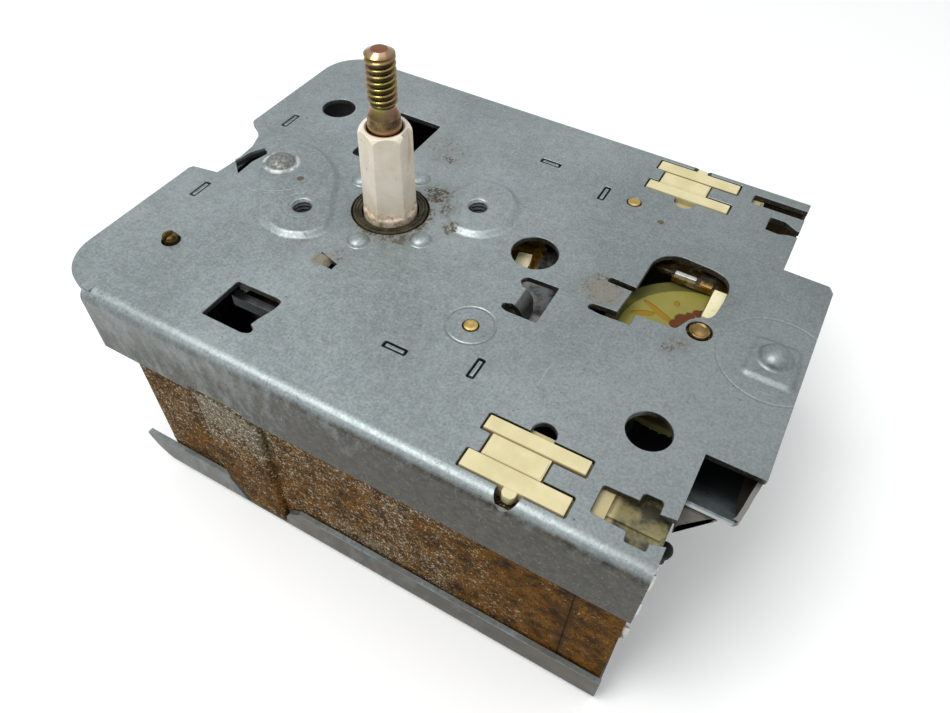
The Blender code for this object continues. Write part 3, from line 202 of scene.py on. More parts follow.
def galvanised(name, light=1.0, stains_and_edge_shade=True, grime=0.0, flank_shade=0.55, deep_shade=0.0):
    """Zinc-coated sheet: blue-grey with a worm-like grain, dark specks, scratches and rust at the shaft,
    with painted shade on its folded flanks and towards +x.
    """
    s = Shader(name, roughness=0.4, metallic=0.8)
    cloud = s.noise(30.0, 2.0, 1.0)
    mottle = s.noise(1.3, 5.0, 2.0, roughness=0.72)
    fuzz = s.noise(0.5, 3.0, 4.0, roughness=0.7)
    tone = s.plus(s.times(cloud, 0.3), s.times(mottle, 0.25))
    tone = s.plus(tone, s.times(fuzz, 0.45))
    low = tuple(c * light for c in (0.236, 0.273, 0.281))
    high = tuple(c * light for c in (0.41, 0.458, 0.468))
    colour = s.mix(s.between(tone, 0.36, 0.64), low, high)
    patchy = s.patch(8.0, 3.0, 6.0, 0.4, 0.62, 0.35, 1.0)
    grain = s.noise(0.3, 3.0, 3.0, roughness=0.65)
    colour = s.mix(s.times(s.between(grain, 0.58, 0.7), s.times(patchy, 0.95)), colour,
                   (0.075, 0.083, 0.083))
    colour = s.mix(s.between(grain, 0.28, 0.4, 0.5, 0.0), colour, (0.62, 0.67, 0.69))
    specks = s.times(s.patch(0.55, 3.0, 18.0, 0.64, 0.7, roughness=0.7), patchy)
    colour = s.mix(s.times(specks, 0.8), colour, (0.07, 0.072, 0.066))
    # Painted shade: from x 5 to x 80 the sheet darkens, up to a third of the way to near black, for light
    # falling off at the far end.
    colour = s.mix(s.between(s.axis(0), 5.0, 80.0, 0.0, 0.34), colour, (0.1, 0.105, 0.1))
    dots = s.between(s.cells(1.9, 5.0), 0.05, 0.13, 1.0, 0.0)
    dots = s.times(dots, s.patch(7.0, 2.0, 16.0, 0.48, 0.6))
    colour = s.mix(s.times(dots, 0.85), colour, (0.045, 0.043, 0.04))
    scratch = s.noise(1.5, 2.0, 7.0, stretch=(1.0, 0.09, 1.0), turn=0.5)
    scratch = s.most(scratch, s.noise(1.5, 2.0, 8.0, stretch=(0.08, 1.0, 1.0), turn=0.25))
    scratch = s.between(scratch, 0.72, 0.77)
    colour = s.mix(s.times(scratch, 0.2), colour, (0.6, 0.63, 0.63))
    # Painted shade: faces pointing along +y or -y, the folded flanks, are darkened in streaks, more towards
    # +x and lower down; the streaky pattern is the sheet's own texture.
    side = s.between(s.magnitude(s.facing(1)), 0.72, 0.98)
    streaks = s.noise(2.6, 5.0, 13.0, stretch=(1.0, 1.0, 0.45), roughness=0.75)
    dirt_and_shade = s.times(side, s.between(streaks, 0.34, 0.62, flank_shade, min(1.0, flank_shade * 1.8)))
    dirt_and_shade = s.times(dirt_and_shade, s.between(s.axis(0), -34.0, 60.0, 0.75, 1.65))
    dirt_and_shade = s.times(dirt_and_shade, s.between(s.axis(2), -11.0, -1.5, 1.25, 0.85))
    colour = s.mix(dirt_and_shade, colour, s.mix(s.between(mottle, 0.35, 0.65), (0.036, 0.036, 0.03),
                                        (0.095, 0.093, 0.08)))
    if grime:
        dirt = s.patch(7.0, 5.0, 11.0, 0.5 - grime / 2, 0.75, 0.0, 0.8, roughness=0.7)
        colour = s.mix(dirt, colour, (0.14, 0.12, 0.095))
    roughness = s.between(mottle, 0.3, 0.7, 0.4, 0.54)
    metallic = 0.8
    # Painted shade: from 1.2 mm below the plate's top face, and fully by 1.6 mm, the sheet is darkened
    # towards black, except on faces that point to -x.
    if deep_shade:
        outer = s.between(s.facing(0), -0.9, -0.5)
        shade = s.times(s.between(s.axis(2), -1.6, -1.2, deep_shade, 0.0), outer)
        colour = s.mix(shade, colour, (0.012, 0.012, 0.01))
    if stains_and_edge_shade:
        # Painted shade: away from the flanges, everything more than 0.3 mm below the top face, including the
        # walls of cut openings and the underside, is darkened most of the way to dark brown.
        inner = s.maths("LESS_THAN", s.magnitude(s.axis(1)), 41.4)
        edge = s.times(s.between(s.axis(2), -0.3, -0.12, 0.72, 0.0), inner)
        colour = s.mix(edge, colour, (0.035, 0.03, 0.022))
        colour, rust, roughness = stains(s, colour, roughness)
        metallic = s.between(rust, 0.0, 1.0, 0.8, 0.1)
    normal = s.bump(grain, 0.014)
    normal = s.bump(s.noise(2.4, 3.0, 12.0), 0.03, onto=normal)
    if stains_and_edge_shade:
        for centre, radius, width, depth in ((DOMES[0], 8.8, 0.3, 0.05), (DOMES[1], 8.9, 0.3, 0.06),
                                             (DETENT_PIVOT, 3.95, 0.35, 0.14),
                                             ((-MOUNT_X, -MOUNT_Y), 3.4, 0.3, 0.05)):
            away = s.minus(s.distance(centre), radius)
            normal = s.bump(s.between(s.magnitude(away), 0.0, width), depth, onto=normal)
    return s.finish(colour, roughness, metallic, normal)


def stains(s, colour, roughness):
    """Rust and dust where the photo's plate has them: places, radii, soft widths and weights."""
    fine = s.noise(0.85, 5.0, 9.0, roughness=0.8)
    ring = s.spot((0.6, -0.4), 6.9, 3.0)
    heavy = s.spot((5.2, 8.0), 1.4, 4.4)
    halo = s.most(s.times(ring, 0.38), s.times(heavy, 0.42))
    for centre, radius, soft, weight in (
        ((4.4, -4.6), 3.0, 2.6, 0.38), ((12.0, 0.8), 0.8, 2.4, 0.4), ((0.0, -14.4), 1.6, 2.4, 0.3),
        ((9.0, 4.8), 0.8, 3.2, 0.36), ((55.2, -5.9), 0.6, 2.0, 0.36), ((39.8, 2.2), 1.0, 3.0, 0.34),
        ((-1.0, 21.0), 3.0, 5.0, 0.3), ((1.4, 19.0), 1.0, 3.0, 0.36), ((41.4, 0.6), 2.6, 3.2, 0.34),
        ((-18.6, -2.0), 0.5, 0.6, 0.5), ((-36.6, 0.0), 1.5, 5.0, 0.3), ((56.4, -4.6), 1.0, 3.2, 0.32),
        ((43.8, 22.3), 0.4, 0.5, 0.5), ((60.4, 9.0), 1.0, 2.4, 0.3), ((-8.8, -14.4), 0.8, 3.0, 0.27),
        ((-24.8, 0.0), 2.2, 1.6, 0.27), ((-37.4, -20.0), 0.6, 3.0, 0.25),
    ):
        halo = s.most(halo, s.times(s.spot(centre, radius, soft), weight))
    rust = s.between(s.plus(halo, fine), 0.83, 0.94)
    film = s.times(halo, s.between(fine, 0.35, 0.6, 0.5, 1.3))
    colour = s.mix(s.times(film, 0.6), colour, (0.17, 0.155, 0.11))
    tint = s.patch(0.5, 3.0, 10.0, 0.35, 0.65, roughness=0.7)
    colour = s.mix(s.times(rust, 0.92), colour, s.mix(tint, (0.024, 0.017, 0.009), (0.11, 0.075, 0.034)))
    dust = s.plus(s.spot((41.8, 0.2), 1.2, 3.4), s.patch(0.5, 4.0, 17.0, 0.35, 0.65, -0.7, 0.5))
    colour = s.mix(s.between(dust, 0.3, 0.7, 0.0, 0.55), colour, (0.3, 0.26, 0.2))
    tab = s.times(s.spot((-2.9, -17.2), 0.9, 1.2), s.between(fine, 0.35, 0.6, 0.3, 1.0))
    colour = s.mix(tab, colour, (0.3, 0.25, 0.17))
    away = s.distance(DOMES[0])
    rim = s.between(s.magnitude(s.minus(away, 3.25)), 0.15, 0.5, 0.8, 0.0)
    colour = s.mix(s.times(rim, s.patch(1.8, 3.0, 14.0, 0.42, 0.56)), colour, (0.8, 0.8, 0.77))
    cap = s.times(s.between(away, 2.5, 2.9, 1.0, 0.0), s.patch(0.6, 4.0, 15.0, 0.35, 0.6))
    colour = s.mix(s.times(cap, 0.8), colour, (0.17, 0.155, 0.13))
    return colour, rust, s.plus(roughness, s.times(s.most(rust, cap), 0.3))


def rusted():
    """Bare sheet under a broken coat of brown rust, with a pale speckle where the tin still shows."""
    s = Shader("rusted_sheet", roughness=0.75, specular=0.12)
    large = s.noise(11.0, 4.0, 21.0, roughness=0.65)
    medium = s.noise(3.2, 6.0, 22.0, roughness=0.8)
    fine = s.noise(0.75, 4.0, 23.0, roughness=0.8)
    rust = s.mix(s.between(medium, 0.34, 0.6), (0.02, 0.009, 0.001), (0.175, 0.072, 0.004))
    metal = s.mix(s.between(fine, 0.35, 0.65), (0.05, 0.035, 0.014), (0.24, 0.2, 0.12))
    panel = s.times(s.between(s.axis(0), -13.5, -11.5), s.between(s.axis(0), 0.0, 3.0, 1.0, 0.0))
    bare = s.plus(s.times(large, 0.45), s.times(fine, 0.75))
    bare = s.plus(bare, s.times(medium, 0.3))
    upper = s.between(s.axis(2), -34.0, -15.0, -0.06, 0.18)
    bare = s.plus(bare, s.times(panel, upper))
    bare = s.minus(bare, s.between(s.axis(0), 30.0, 60.0, 0.0, 0.14))
    shows = s.between(bare, 0.74, 0.9)
    colour = s.mix(shows, rust, metal)
    fleck = s.times(s.patch(0.36, 2.0, 24.0, 0.56, 0.62), s.between(bare, 0.6, 0.84, 0.0, 0.95))
    colour = s.mix(fleck, colour, (0.66, 0.6, 0.46))
    pit = s.patch(0.42, 2.0, 25.0, 0.36, 0.48, 0.85, 0.0)
    colour = s.mix(pit, colour, (0.022, 0.014, 0.007))
    # Painted shade: a soft dark band up to 1.6 mm either side of the seam stands in for the shade of a wide,
    # shallow groove; the geometry has only a thin cut.
    seam = s.between(s.magnitude(s.minus(s.axis(0), WALL_SEAM)), 0.2, 1.6, 0.6, 0.0)
    colour = s.mix(seam, colour, (0.03, 0.018, 0.006))
    colour = s.mix(s.between(medium, 0.3, 0.7, 0.34, 0.2), colour, (0.008, 0.003, 0.0))
    # Painted shade: the wall's inner side, facing into the case, is darkened most of the way to black.
    inside = s.maths("LESS_THAN", s.magnitude(s.axis(1)), WALL_OUT - 0.2)
    colour = s.mix(s.times(inside, 0.8), colour, (0.008, 0.007, 0.005))
    roughness = s.between(shows, 0.0, 1.0, 0.85, 0.48)
    metallic = s.between(shows, 0.0, 1.0, 0.0, 0.5)
    normal = s.bump(fine, 0.06)
    normal = s.bump(medium, 0.14, onto=normal)
    return s.finish(colour, roughness, metallic, normal)


def steel(name, dark, light, roughness=0.35, grease=0.0, metallic=0.9):
    """Plain or oiled steel, with optional brown grease."""
    s = Shader(name, roughness=roughness, metallic=metallic)
    mottle = s.noise(2.4, 4.0, 31.0, roughness=0.7)
    colour = s.mix(s.between(mottle, 0.3, 0.7), dark, light)
    rough = s.between(mottle, 0.3, 0.7, roughness - 0.08, roughness + 0.14)
    if grease:
        smear = s.patch(2.8, 4.0, 32.0, 0.62 - grease * 0.3, 0.72 - grease * 0.25, roughness=0.6)
        brown = s.mix(s.noise(1.0, 2.0, 33.0), (0.06, 0.035, 0.01), (0.3, 0.17, 0.04))
        colour = s.mix(smear, colour, brown)
        rough = s.mix(smear, rough, (0.2, 0.2, 0.2))
    normal = s.bump(s.noise(0.6, 2.0, 34.0), 0.01)
    return s.finish(colour, rough, None, normal)


def scoop_steel():
    """The scoop's smooth steel: painted shade makes it near black under the plate, it is slate grey further
    out, and a painted highlight makes it bright at the lip.
    """
    s = Shader("scoop_steel", roughness=0.3, metallic=0.5)
    mottle = s.noise(2.2, 4.0, 36.0, roughness=0.7)
    # Painted shade: between y -27.6 and y -20.5 the steel runs from slate grey to near black under the
    # plate.
    deep = s.between(s.axis(1), -27.6, -20.5, 1.0, 0.0)
    slate = s.mix(s.between(mottle, 0.35, 0.65), (0.11, 0.135, 0.14), (0.2, 0.23, 0.24))
    colour = s.mix(deep, (0.02, 0.024, 0.024), slate)
    colour = s.mix(s.between(s.axis(0), 73.1, 73.3), colour, (0.075, 0.07, 0.062))
    colour = s.mix(s.between(s.axis(2), -1.5, -1.34), colour, (0.2, 0.195, 0.18))
    # Painted highlight: a thin bright line along the front edge of the lip.
    lip = s.times(s.between(s.axis(1), -29.45, -29.3, 1.0, 0.0), s.between(s.axis(2), -2.4, -2.1))
    tail = s.times(s.between(s.axis(1), -29.7, -29.5, 1.0, 0.0), s.between(s.axis(0), 72.2, 72.4, 1.0, 0.0))
    brown = s.mix(s.between(mottle, 0.3, 0.7), (0.05, 0.045, 0.036), (0.14, 0.13, 0.108))
    colour = s.mix(tail, colour, brown)
    colour = s.mix(lip, colour, (0.34, 0.35, 0.35))
    return s.finish(colour, s.between(mottle, 0.3, 0.7, 0.26, 0.44), s.between(tail, 0.0, 1.0, 0.5, 0.2))


def plated(name, first, second, third, roughness=0.3):
    """Yellow passivated plating or brass: hue drifts between three tones, with dark specks and duller
    patches.
    """
    s = Shader(name, roughness=roughness, metallic=1.0)
    drift = s.noise(2.2, 3.0, 41.0)
    colour = s.mix(s.between(drift, 0.35, 0.55), first, second)
    colour = s.mix(s.patch(1.3, 3.0, 42.0, 0.52, 0.66), colour, third)
    speck = s.patch(0.4, 2.0, 43.0, 0.64, 0.74, 0.0, 0.6)
    colour = s.mix(speck, colour, (0.08, 0.05, 0.02))
    rough = s.patch(0.9, 3.0, 44.0, 0.3, 0.7, roughness - 0.08, roughness + 0.16)
    return s.finish(colour, rough, None, s.bump(s.noise(0.3, 2.0, 45.0), 0.008))


def stud_plating():
    """Yellow passivated zinc drifting to pink and green, dark in the thread, coppery at tip and collar."""
    s = Shader("stud_plating", roughness=0.22, metallic=1.0)
    drift = s.noise(2.0, 3.0, 46.0)
    colour = s.mix(s.between(drift, 0.4, 0.6), (0.3, 0.29, 0.07), (0.36, 0.24, 0.11))
    flank = s.between(s.magnitude(s.facing(0)), 0.45, 0.9, 0.0, 0.8)
    colour = s.mix(flank, colour, (0.3, 0.14, 0.13))
    colour = s.mix(s.patch(1.1, 3.0, 47.0, 0.56, 0.7, 0.0, 0.8), colour, (0.36, 0.15, 0.14))
    colour = s.mix(s.between(s.axis(2), 29.8, 30.1), colour, (0.46, 0.3, 0.2))
    colour = s.mix(s.between(s.axis(2), 30.36, 30.39), colour, (0.34, 0.14, 0.07))
    root = s.between(s.distance((0.0, 0.0)), 1.98, 2.36, 0.9, 0.0)
    thread = s.times(s.between(s.axis(2), 21.0, 21.6), s.between(s.axis(2), 29.4, 29.7, 1.0, 0.0))
    colour = s.mix(s.times(root, thread), colour, (0.03, 0.028, 0.01))
    collar = s.between(s.axis(2), 19.9, 21.2, 0.75, 0.0)
    colour = s.mix(collar, colour, s.mix(s.patch(0.9, 4.0, 45.0, 0.35, 0.65), (0.1, 0.06, 0.03),
                                         (0.2, 0.13, 0.08)))
    rim = s.between(s.axis(2), 17.7, 18.0, 0.8, 0.0)
    colour = s.mix(rim, colour, (0.36, 0.19, 0.09))
    speck = s.patch(0.4, 2.0, 48.0, 0.62, 0.72, 0.0, 0.6)
    colour = s.mix(speck, colour, (0.04, 0.03, 0.015))
    return s.finish(colour, s.patch(0.9, 3.0, 49.0, 0.3, 0.7, 0.15, 0.36), None,
                    s.bump(s.noise(0.3, 2.0, 50.0), 0.01))


def plastic(name, base, shade, roughness=0.45, dirt=None, dirt_and_shade=0.3, specular=0.5):
    """Moulded plastic with a faint drift in colour, a fine grain and some dirt in patches."""
    s = Shader(name, roughness=roughness, specular=specular, soft=0.06)
    colour = s.mix(s.patch(5.0, 3.0, 51.0, 0.35, 0.65), base, shade)
    if dirt:
        patch = s.patch(1.7, 5.0, 52.0, 0.72 - dirt_and_shade * 0.3, 0.8, roughness=0.75)
        colour = s.mix(s.times(patch, 0.75), colour, dirt)
    rough = s.patch(1.4, 2.0, 53.0, 0.3, 0.7, roughness - 0.06, roughness + 0.1)
    return s.finish(colour, rough, None, s.bump(s.noise(0.35, 2.0, 54.0), 0.012))


def block_plastic():
    """The switch blocks' cream moulding: brown in its seams, dark olive at the terminal end, and painted
    shade deep under the plate.
    """
    s = Shader("block_plastic", roughness=0.46, soft=0.06)
    colour = s.mix(s.patch(5.0, 3.0, 55.0, 0.35, 0.65), (0.58, 0.51, 0.28), (0.66, 0.59, 0.35))
    patch = s.patch(1.5, 5.0, 56.0, 0.66, 0.8, roughness=0.75)
    colour = s.mix(s.times(patch, 0.5), colour, (0.4, 0.28, 0.11))
    deep = s.between(s.axis(2), -0.5, -0.2, 0.45, 0.0)
    colour = s.mix(deep, colour, (0.3, 0.22, 0.1))
    tinted = s.between(s.axis(0), 58.4, 59.4)
    olive = s.mix(s.patch(3.4, 4.0, 57.0, 0.42, 0.6), (0.03, 0.028, 0.014), (0.22, 0.19, 0.085))
    colour = s.mix(tinted, colour, olive)
    # Painted shade: from about 3.8 mm below the plate, and fully by 4.4 mm, the moulding is darkened nearly
    # to black.
    colour = s.mix(s.between(s.axis(2), -4.4, -3.8, 0.9, 0.0), colour, (0.02, 0.017, 0.01))
    for line in (33.55, 37.45):
        away = s.magnitude(s.minus(s.magnitude(s.axis(1)), line))
        seam = s.times(s.between(away, 0.06, 0.2, 0.75, 0.0), s.between(s.axis(2), -0.8, -0.5))
        colour = s.mix(seam, colour, (0.16, 0.1, 0.035))
    return s.finish(colour, s.patch(1.4, 2.0, 58.0, 0.3, 0.7, 0.38, 0.56), None,
                    s.bump(s.noise(0.35, 2.0, 59.0), 0.012))


def ratchet_look():
    """Greasy amber-brown wheel, with its moulded post in cream."""
    s = Shader("ratchet_amber", roughness=0.25, coat=0.3)
    amber = s.mix(s.patch(2.2, 4.0, 76.0, 0.35, 0.65), (0.2, 0.09, 0.012), (0.66, 0.38, 0.07))
    amber = s.mix(s.between(s.axis(0), 5.0, 15.0, 0.85, 0.0), amber, (0.03, 0.025, 0.012))
    post = s.mix(s.patch(1.4, 3.0, 77.0, 0.4, 0.65), (0.78, 0.72, 0.5), (0.6, 0.5, 0.28))
    return s.finish(s.mix(s.between(s.axis(2), -6.86, -6.84), amber, post), None, None,
                    s.bump(s.noise(0.8, 2.0, 78.0), 0.03))


def sleeve_plastic():
    """The dial sleeve's off-white, yellowed in patches and browned at the foot."""
    s = Shader("sleeve_plastic", roughness=0.42, soft=0.08)
    colour = s.mix(s.patch(4.0, 3.0, 61.0, 0.35, 0.65), (0.75, 0.66, 0.53), (0.84, 0.77, 0.66))
    height = s.axis(2)
    film = s.times(s.between(height, -1.0, 9.0, 1.0, 0.0), s.patch(2.0, 4.0, 62.0, 0.3, 0.7))
    colour = s.mix(s.times(film, 0.7), colour, (0.55, 0.42, 0.3))
    foot = s.plus(s.between(height, 0.2, 4.5, 0.34, 0.0), s.noise(0.9, 5.0, 63.0, roughness=0.75))
    colour = s.mix(s.between(foot, 0.74, 0.98, 0.0, 0.85), colour, (0.22, 0.125, 0.04))
    inner = s.spot((0.0, 0.0), 3.35, 0.15)
    colour = s.mix(s.times(inner, 0.85), colour, (0.2, 0.15, 0.1))
    speck = s.patch(0.6, 1.0, 64.0, 0.71, 0.76, 0.0, 0.7)
    colour = s.mix(speck, colour, (0.25, 0.17, 0.11))
    return s.finish(colour, s.patch(1.5, 2.0, 65.0, 0.3, 0.7, 0.34, 0.5), None,
                    s.bump(s.noise(0.5, 2.0, 66.0), 0.012))


def cam_plastic():
    """The snail cam's greased olive-yellow plastic, with streaks of old brown grease."""
    s = Shader("cam_plastic", roughness=0.34, coat=0.1, specular=0.25)
    s.surface.inputs["Coat Roughness"].default_value = 0.15
    away = s.distance(CAM_AXIS)
    outer = s.mix(s.noise(4.0, 3.0, 71.0), (0.085, 0.08, 0.02), (0.13, 0.12, 0.034))
    inner = s.mix(s.noise(4.0, 3.0, 72.0), (0.19, 0.17, 0.03), (0.29, 0.26, 0.06))
    # Painted shade: beyond about 13 mm from the axis the cam takes darker tones than its inner face.
    colour = s.mix(s.between(away, 12.7, 13.2), inner, outer)
    wobble = s.times(s.minus(s.noise(1.1, 4.0, 73.0), 0.5), 1.1)
    grease = 0.0
    for centre, scale, turn, radius in (
        ((50.9, 4.6), (0.25, 1.5), -0.43, 0.75), ((48.5, 3.1), (0.44, 1.5), 0.44, 0.8),
        ((52.8, 8.1), (1.4, 1.1), 0.0, 0.5),
    ):
        near = s.plus(s.distance(centre, scale, turn), s.times(wobble, 0.5))
        streak = s.between(near, radius, radius + 0.25, 1.0, 0.0)
        grease = streak if grease == 0.0 else s.most(grease, streak)
    colour = s.mix(s.times(grease, 0.92), colour, (0.27, 0.14, 0.0))
    blob = 0.0
    for centre, radius in (((54.2, 3.5), 1.0), ((54.6, 5.2), 1.0), ((55.7, 6.5), 0.65), ((56.7, 7.7), 0.7)):
        lump = s.between(s.plus(s.distance(centre), wobble), radius, radius + 0.3, 1.0, 0.0)
        blob = lump if blob == 0.0 else s.most(blob, lump)
    colour = s.mix(blob, colour, s.mix(s.noise(0.8, 2.0, 74.0), (0.05, 0.012, 0.0), (0.15, 0.036, 0.0)))
    normal = s.bump(s.noise(1.4, 2.0, 75.0), 0.04)
    return s.finish(colour, None, None, s.bump(s.most(grease, blob), 0.15, onto=normal))


def bushing_steel():
    """Dark greasy ring with turned grooves and a little brown rust outside them."""
    s = Shader("bushing_steel", roughness=0.4, metallic=0.6)
    away = s.distance((0.0, 0.0))
    colour = s.mix(s.patch(1.6, 4.0, 81.0, 0.35, 0.65), (0.026, 0.023, 0.014), (0.085, 0.075, 0.045))
    edge = s.times(s.between(away, 6.3, 6.8), s.patch(0.8, 4.0, 82.0, 0.45, 0.62, 0.0, 0.8))
    colour = s.mix(edge, colour, (0.14, 0.075, 0.022))
    return s.finish(colour, s.patch(1.0, 3.0, 83.0, 0.3, 0.7, 0.3, 0.55), None,
                    s.bump(s.noise(0.7, 3.0, 84.0), 0.04))


def copper_wire():
    """Enamelled copper wound in level turns."""
    s = Shader("copper_wire", roughness=0.3, metallic=0.9)
    turns = s.maths("SINE", s.times(s.axis(2), 18.0))
    # Painted shade and highlight: the colour runs dark in the grooves between turns and light on their
    # crowns.
    colour = s.mix(s.between(turns, -1.0, 1.0), (0.16, 0.05, 0.015), (0.56, 0.23, 0.08))
    return s.finish(colour, None, None, s.bump(turns, 0.1))


def studio_floor():
    s = Shader("studio_floor", roughness=0.7)
    colour = s.mix(s.noise(160.0, 2.0, 91.0), (0.96, 0.96, 0.96), (0.98, 0.98, 0.98))
    return s.finish(colour)


# Outlines


def polar(radius, degrees, centre=(0.0, 0.0)):
    angle = math.radians(degrees)
    return (centre[0] + radius * math.cos(angle), centre[1] + radius * math.sin(angle))


def circle(radius, centre=(0.0, 0.0), steps=48):
    return [polar(radius, 360 * i / steps, centre) for i in range(steps)]


def arc(centre, radius, start, end, segments):
    return [polar(radius, start + (end - start) * i / segments, centre) for i in range(segments + 1)]


def rectangle(x0, x1, y0, y1):
    return [(x0, y0), (x1, y0), (x1, y1), (x0, y1)]


def area(points):
    return sum(a[0] * b[1] - b[0] * a[1] for a, b in zip(points, points[1:] + points[:1])) / 2


def wound(points):
    """The outline, turned counter-clockwise."""
    return points if area(points) > 0 else points[::-1]


def rounded(points, radius, segments=5):
    """Each corner replaced by an arc; a corner's third value is its own radius."""
    found = []
    count = len(points)
    for i, point in enumerate(points):
        here = Vector(point[:2])
        size = point[2] if len(point) > 2 else radius
        back = Vector(points[i - 1][:2]) - here
        ahead = Vector(points[(i + 1) % count][:2]) - here
        if size == 0:
            found.append(tuple(here))
            continue
        size = max(0.02, min(size, 0.45 * back.length, 0.45 * ahead.length))
        start = here + back.normalized() * size
        end = here + ahead.normalized() * size
        for step in range(segments + 1):
            t = step / segments
            found.append(tuple((1 - t) ** 2 * start + 2 * t * (1 - t) * here + t * t * end))
    return found


def smoothed(points, steps=6):
    """A closed smooth curve through the points."""
    found = []
    count = len(points)
    for i in range(count):
        p0, p1, p2, p3 = (Vector(points[(i + k - 1) % count]) for k in range(4))
        for step in range(steps):
            t = step / steps
            found.append(tuple(0.5 * (2 * p1 + (p2 - p0) * t + (2 * p0 - 5 * p1 + 4 * p2 - p3) * t**2
                                      + (3 * p1 - p0 - 3 * p2 + p3) * t**3)))
    return found


def inset(points, distance):
    """A counter-clockwise outline moved inwards by a distance, or outwards by a negative one."""
    found = []
    for i, point in enumerate(points):
        here = Vector(point)
        into = (here - Vector(points[i - 1])).normalized()
        out = (Vector(points[(i + 1) % len(points)]) - here).normalized()
        normal = Vector((-(into + out).y, (into + out).x)).normalized()
        miter = 1 / max(0.5, normal.dot(Vector((-out.y, out.x))))
        found.append(tuple(here + normal * (distance * miter)))
    return found


def grown(points, distance, radius, segments=4):
    """A sharp outline moved outwards, then rounded so that its corner arcs keep their centres."""
    points = wound(points)
    moved = inset([point[:2] for point in points], -distance)
    found = []
    for i, point in enumerate(points):
        size = point[2] if len(point) > 2 else radius
        back, ahead = points[i - 1], points[(i + 1) % len(points)]
        turn = (point[0] - back[0]) * (ahead[1] - point[1]) - (point[1] - back[1]) * (ahead[0] - point[0])
        size = size and max(0.02, size + (distance if turn > 0 else -distance))
        found.append((*moved[i], size))
    return rounded(found, radius, segments)


def mirrored(points, side):
    return list(points) if side > 0 else [(point[0], -point[1], *point[2:]) for point in reversed(points)]


# Solids, as bmesh in millimetres


def upright(u, v, w):
    return (u, v, w)


def lengthwise(u, v, w):
    return (w, u, v)


def crosswise(u, v, w):
    return (u, w, v)


def outward(faces):
    """Turns a closed body's faces outwards, when they were built facing in."""
    volume = 0.0
    for face in faces:
        corners = [vertex.co for vertex in face.verts]
        volume += sum(corners[0].dot(a.cross(b)) for a, b in zip(corners[1:], corners[2:]))
    if volume < 0:
        for face in faces:
            face.normal_flip()


def loft(levels, place=upright, mesh=None):
    """A closed body through outlines of equal count, each given as (height, outline)."""
    mesh = bmesh.new() if mesh is None else mesh
    rings = [[mesh.verts.new(place(u, v, w)) for u, v in outline] for w, outline in levels]
    count = len(rings[0])
    faces = [mesh.faces.new(rings[0][::-1]), mesh.faces.new(rings[-1])]
    for low, high in zip(rings, rings[1:]):
        for i in range(count):
            j = (i + 1) % count
            faces.append(mesh.faces.new((low[i], low[j], high[j], high[i])))
    outward(faces)
    return mesh


def prism(outline, low, high, place=upright, mesh=None):
    return loft([(low, outline), (high, outline)], place, mesh)


def eased(outline, low, high, edge, place=upright, mesh=None):
    """A prism whose edges at both ends are eased by a small round."""
    outline = wound(outline)
    levels = [(low, inset(outline, edge)), (low + 0.3 * edge, inset(outline, 0.3 * edge)),
              (low + edge, outline), (high - edge, outline), (high - 0.3 * edge, inset(outline, 0.3 * edge)),
              (high, inset(outline, edge))]
    return loft(levels, place, mesh)


def box(x0, x1, y0, y1, z0, z1, mesh=None, edge=0.0):
    if edge:
        return eased(rounded(rectangle(x0, x1, y0, y1), edge, 2), z0, z1, edge, mesh=mesh)
    return prism(rectangle(x0, x1, y0, y1), z0, z1, mesh=mesh)


def lathe(profile, centre=(0.0, 0.0), steps=64, mesh=None, swell=None):
    """Turns an (r, z) profile about an upright axis. One that starts and ends on the axis closes there."""
    mesh = bmesh.new() if mesh is None else mesh
    solid = profile[0][0] == 0
    rings = []
    for index, (radius, height) in enumerate(profile):
        if radius == 0:
            rings.append([mesh.verts.new((*centre, height))] * steps)
            continue
        ring = []
        for i in range(steps):
            grown = swell(index, i / steps, radius, height) if swell else radius
            ring.append(mesh.verts.new((*polar(grown, 360 * i / steps, centre), height)))
        rings.append(ring)
    pairs = list(zip(rings, rings[1:])) + ([] if solid else [(rings[-1], rings[0])])
    faces = []
    for low, high in pairs:
        for i in range(steps):
            j = (i + 1) % steps
            corners = list(dict.fromkeys((low[i], low[j], high[j], high[i])))
            faces.append(mesh.faces.new(corners))
    outward(faces)
    return mesh


def button(centre, radius, base, height, mesh, steps=48, skirt=0.45):
    """A pressed dome with a soft foot that runs out into the sheet around it."""
    profile = [(0, base - 0.6), (radius + skirt, base - 0.6), (radius + skirt, base + 0.004)]
    profile += [(radius + skirt * (1 - t), base + 0.02 + 0.16 * height * t**2) for t in (0.35, 0.7, 1.0)]
    start = math.asin(0.18)
    for i in range(1, 9):
        angle = start + (math.pi / 2 - start) * i / 9
        profile.append((radius * math.cos(angle), base + height * math.sin(angle)))
    profile.append((0, base + height))
    return lathe(profile, centre, steps, mesh)


def bent_path(points, width, place, low, high, mesh=None):
    """A strip of sheet along a path, from low to high across."""
    return prism(strip(points, width), low, high, place, mesh)


# Pieces


def raw_object(name, mesh_bm):
    mesh = bpy.data.meshes.new(name)
    mesh_bm.to_mesh(mesh)
    mesh_bm.free()
    item = bpy.data.objects.new(name, mesh)
    bpy.context.collection.objects.link(item)
    return item


def join(tool_bm):
    return [("UNION", tool_bm)]


def cut(tool_bm):
    return [("DIFFERENCE", tool_bm)]


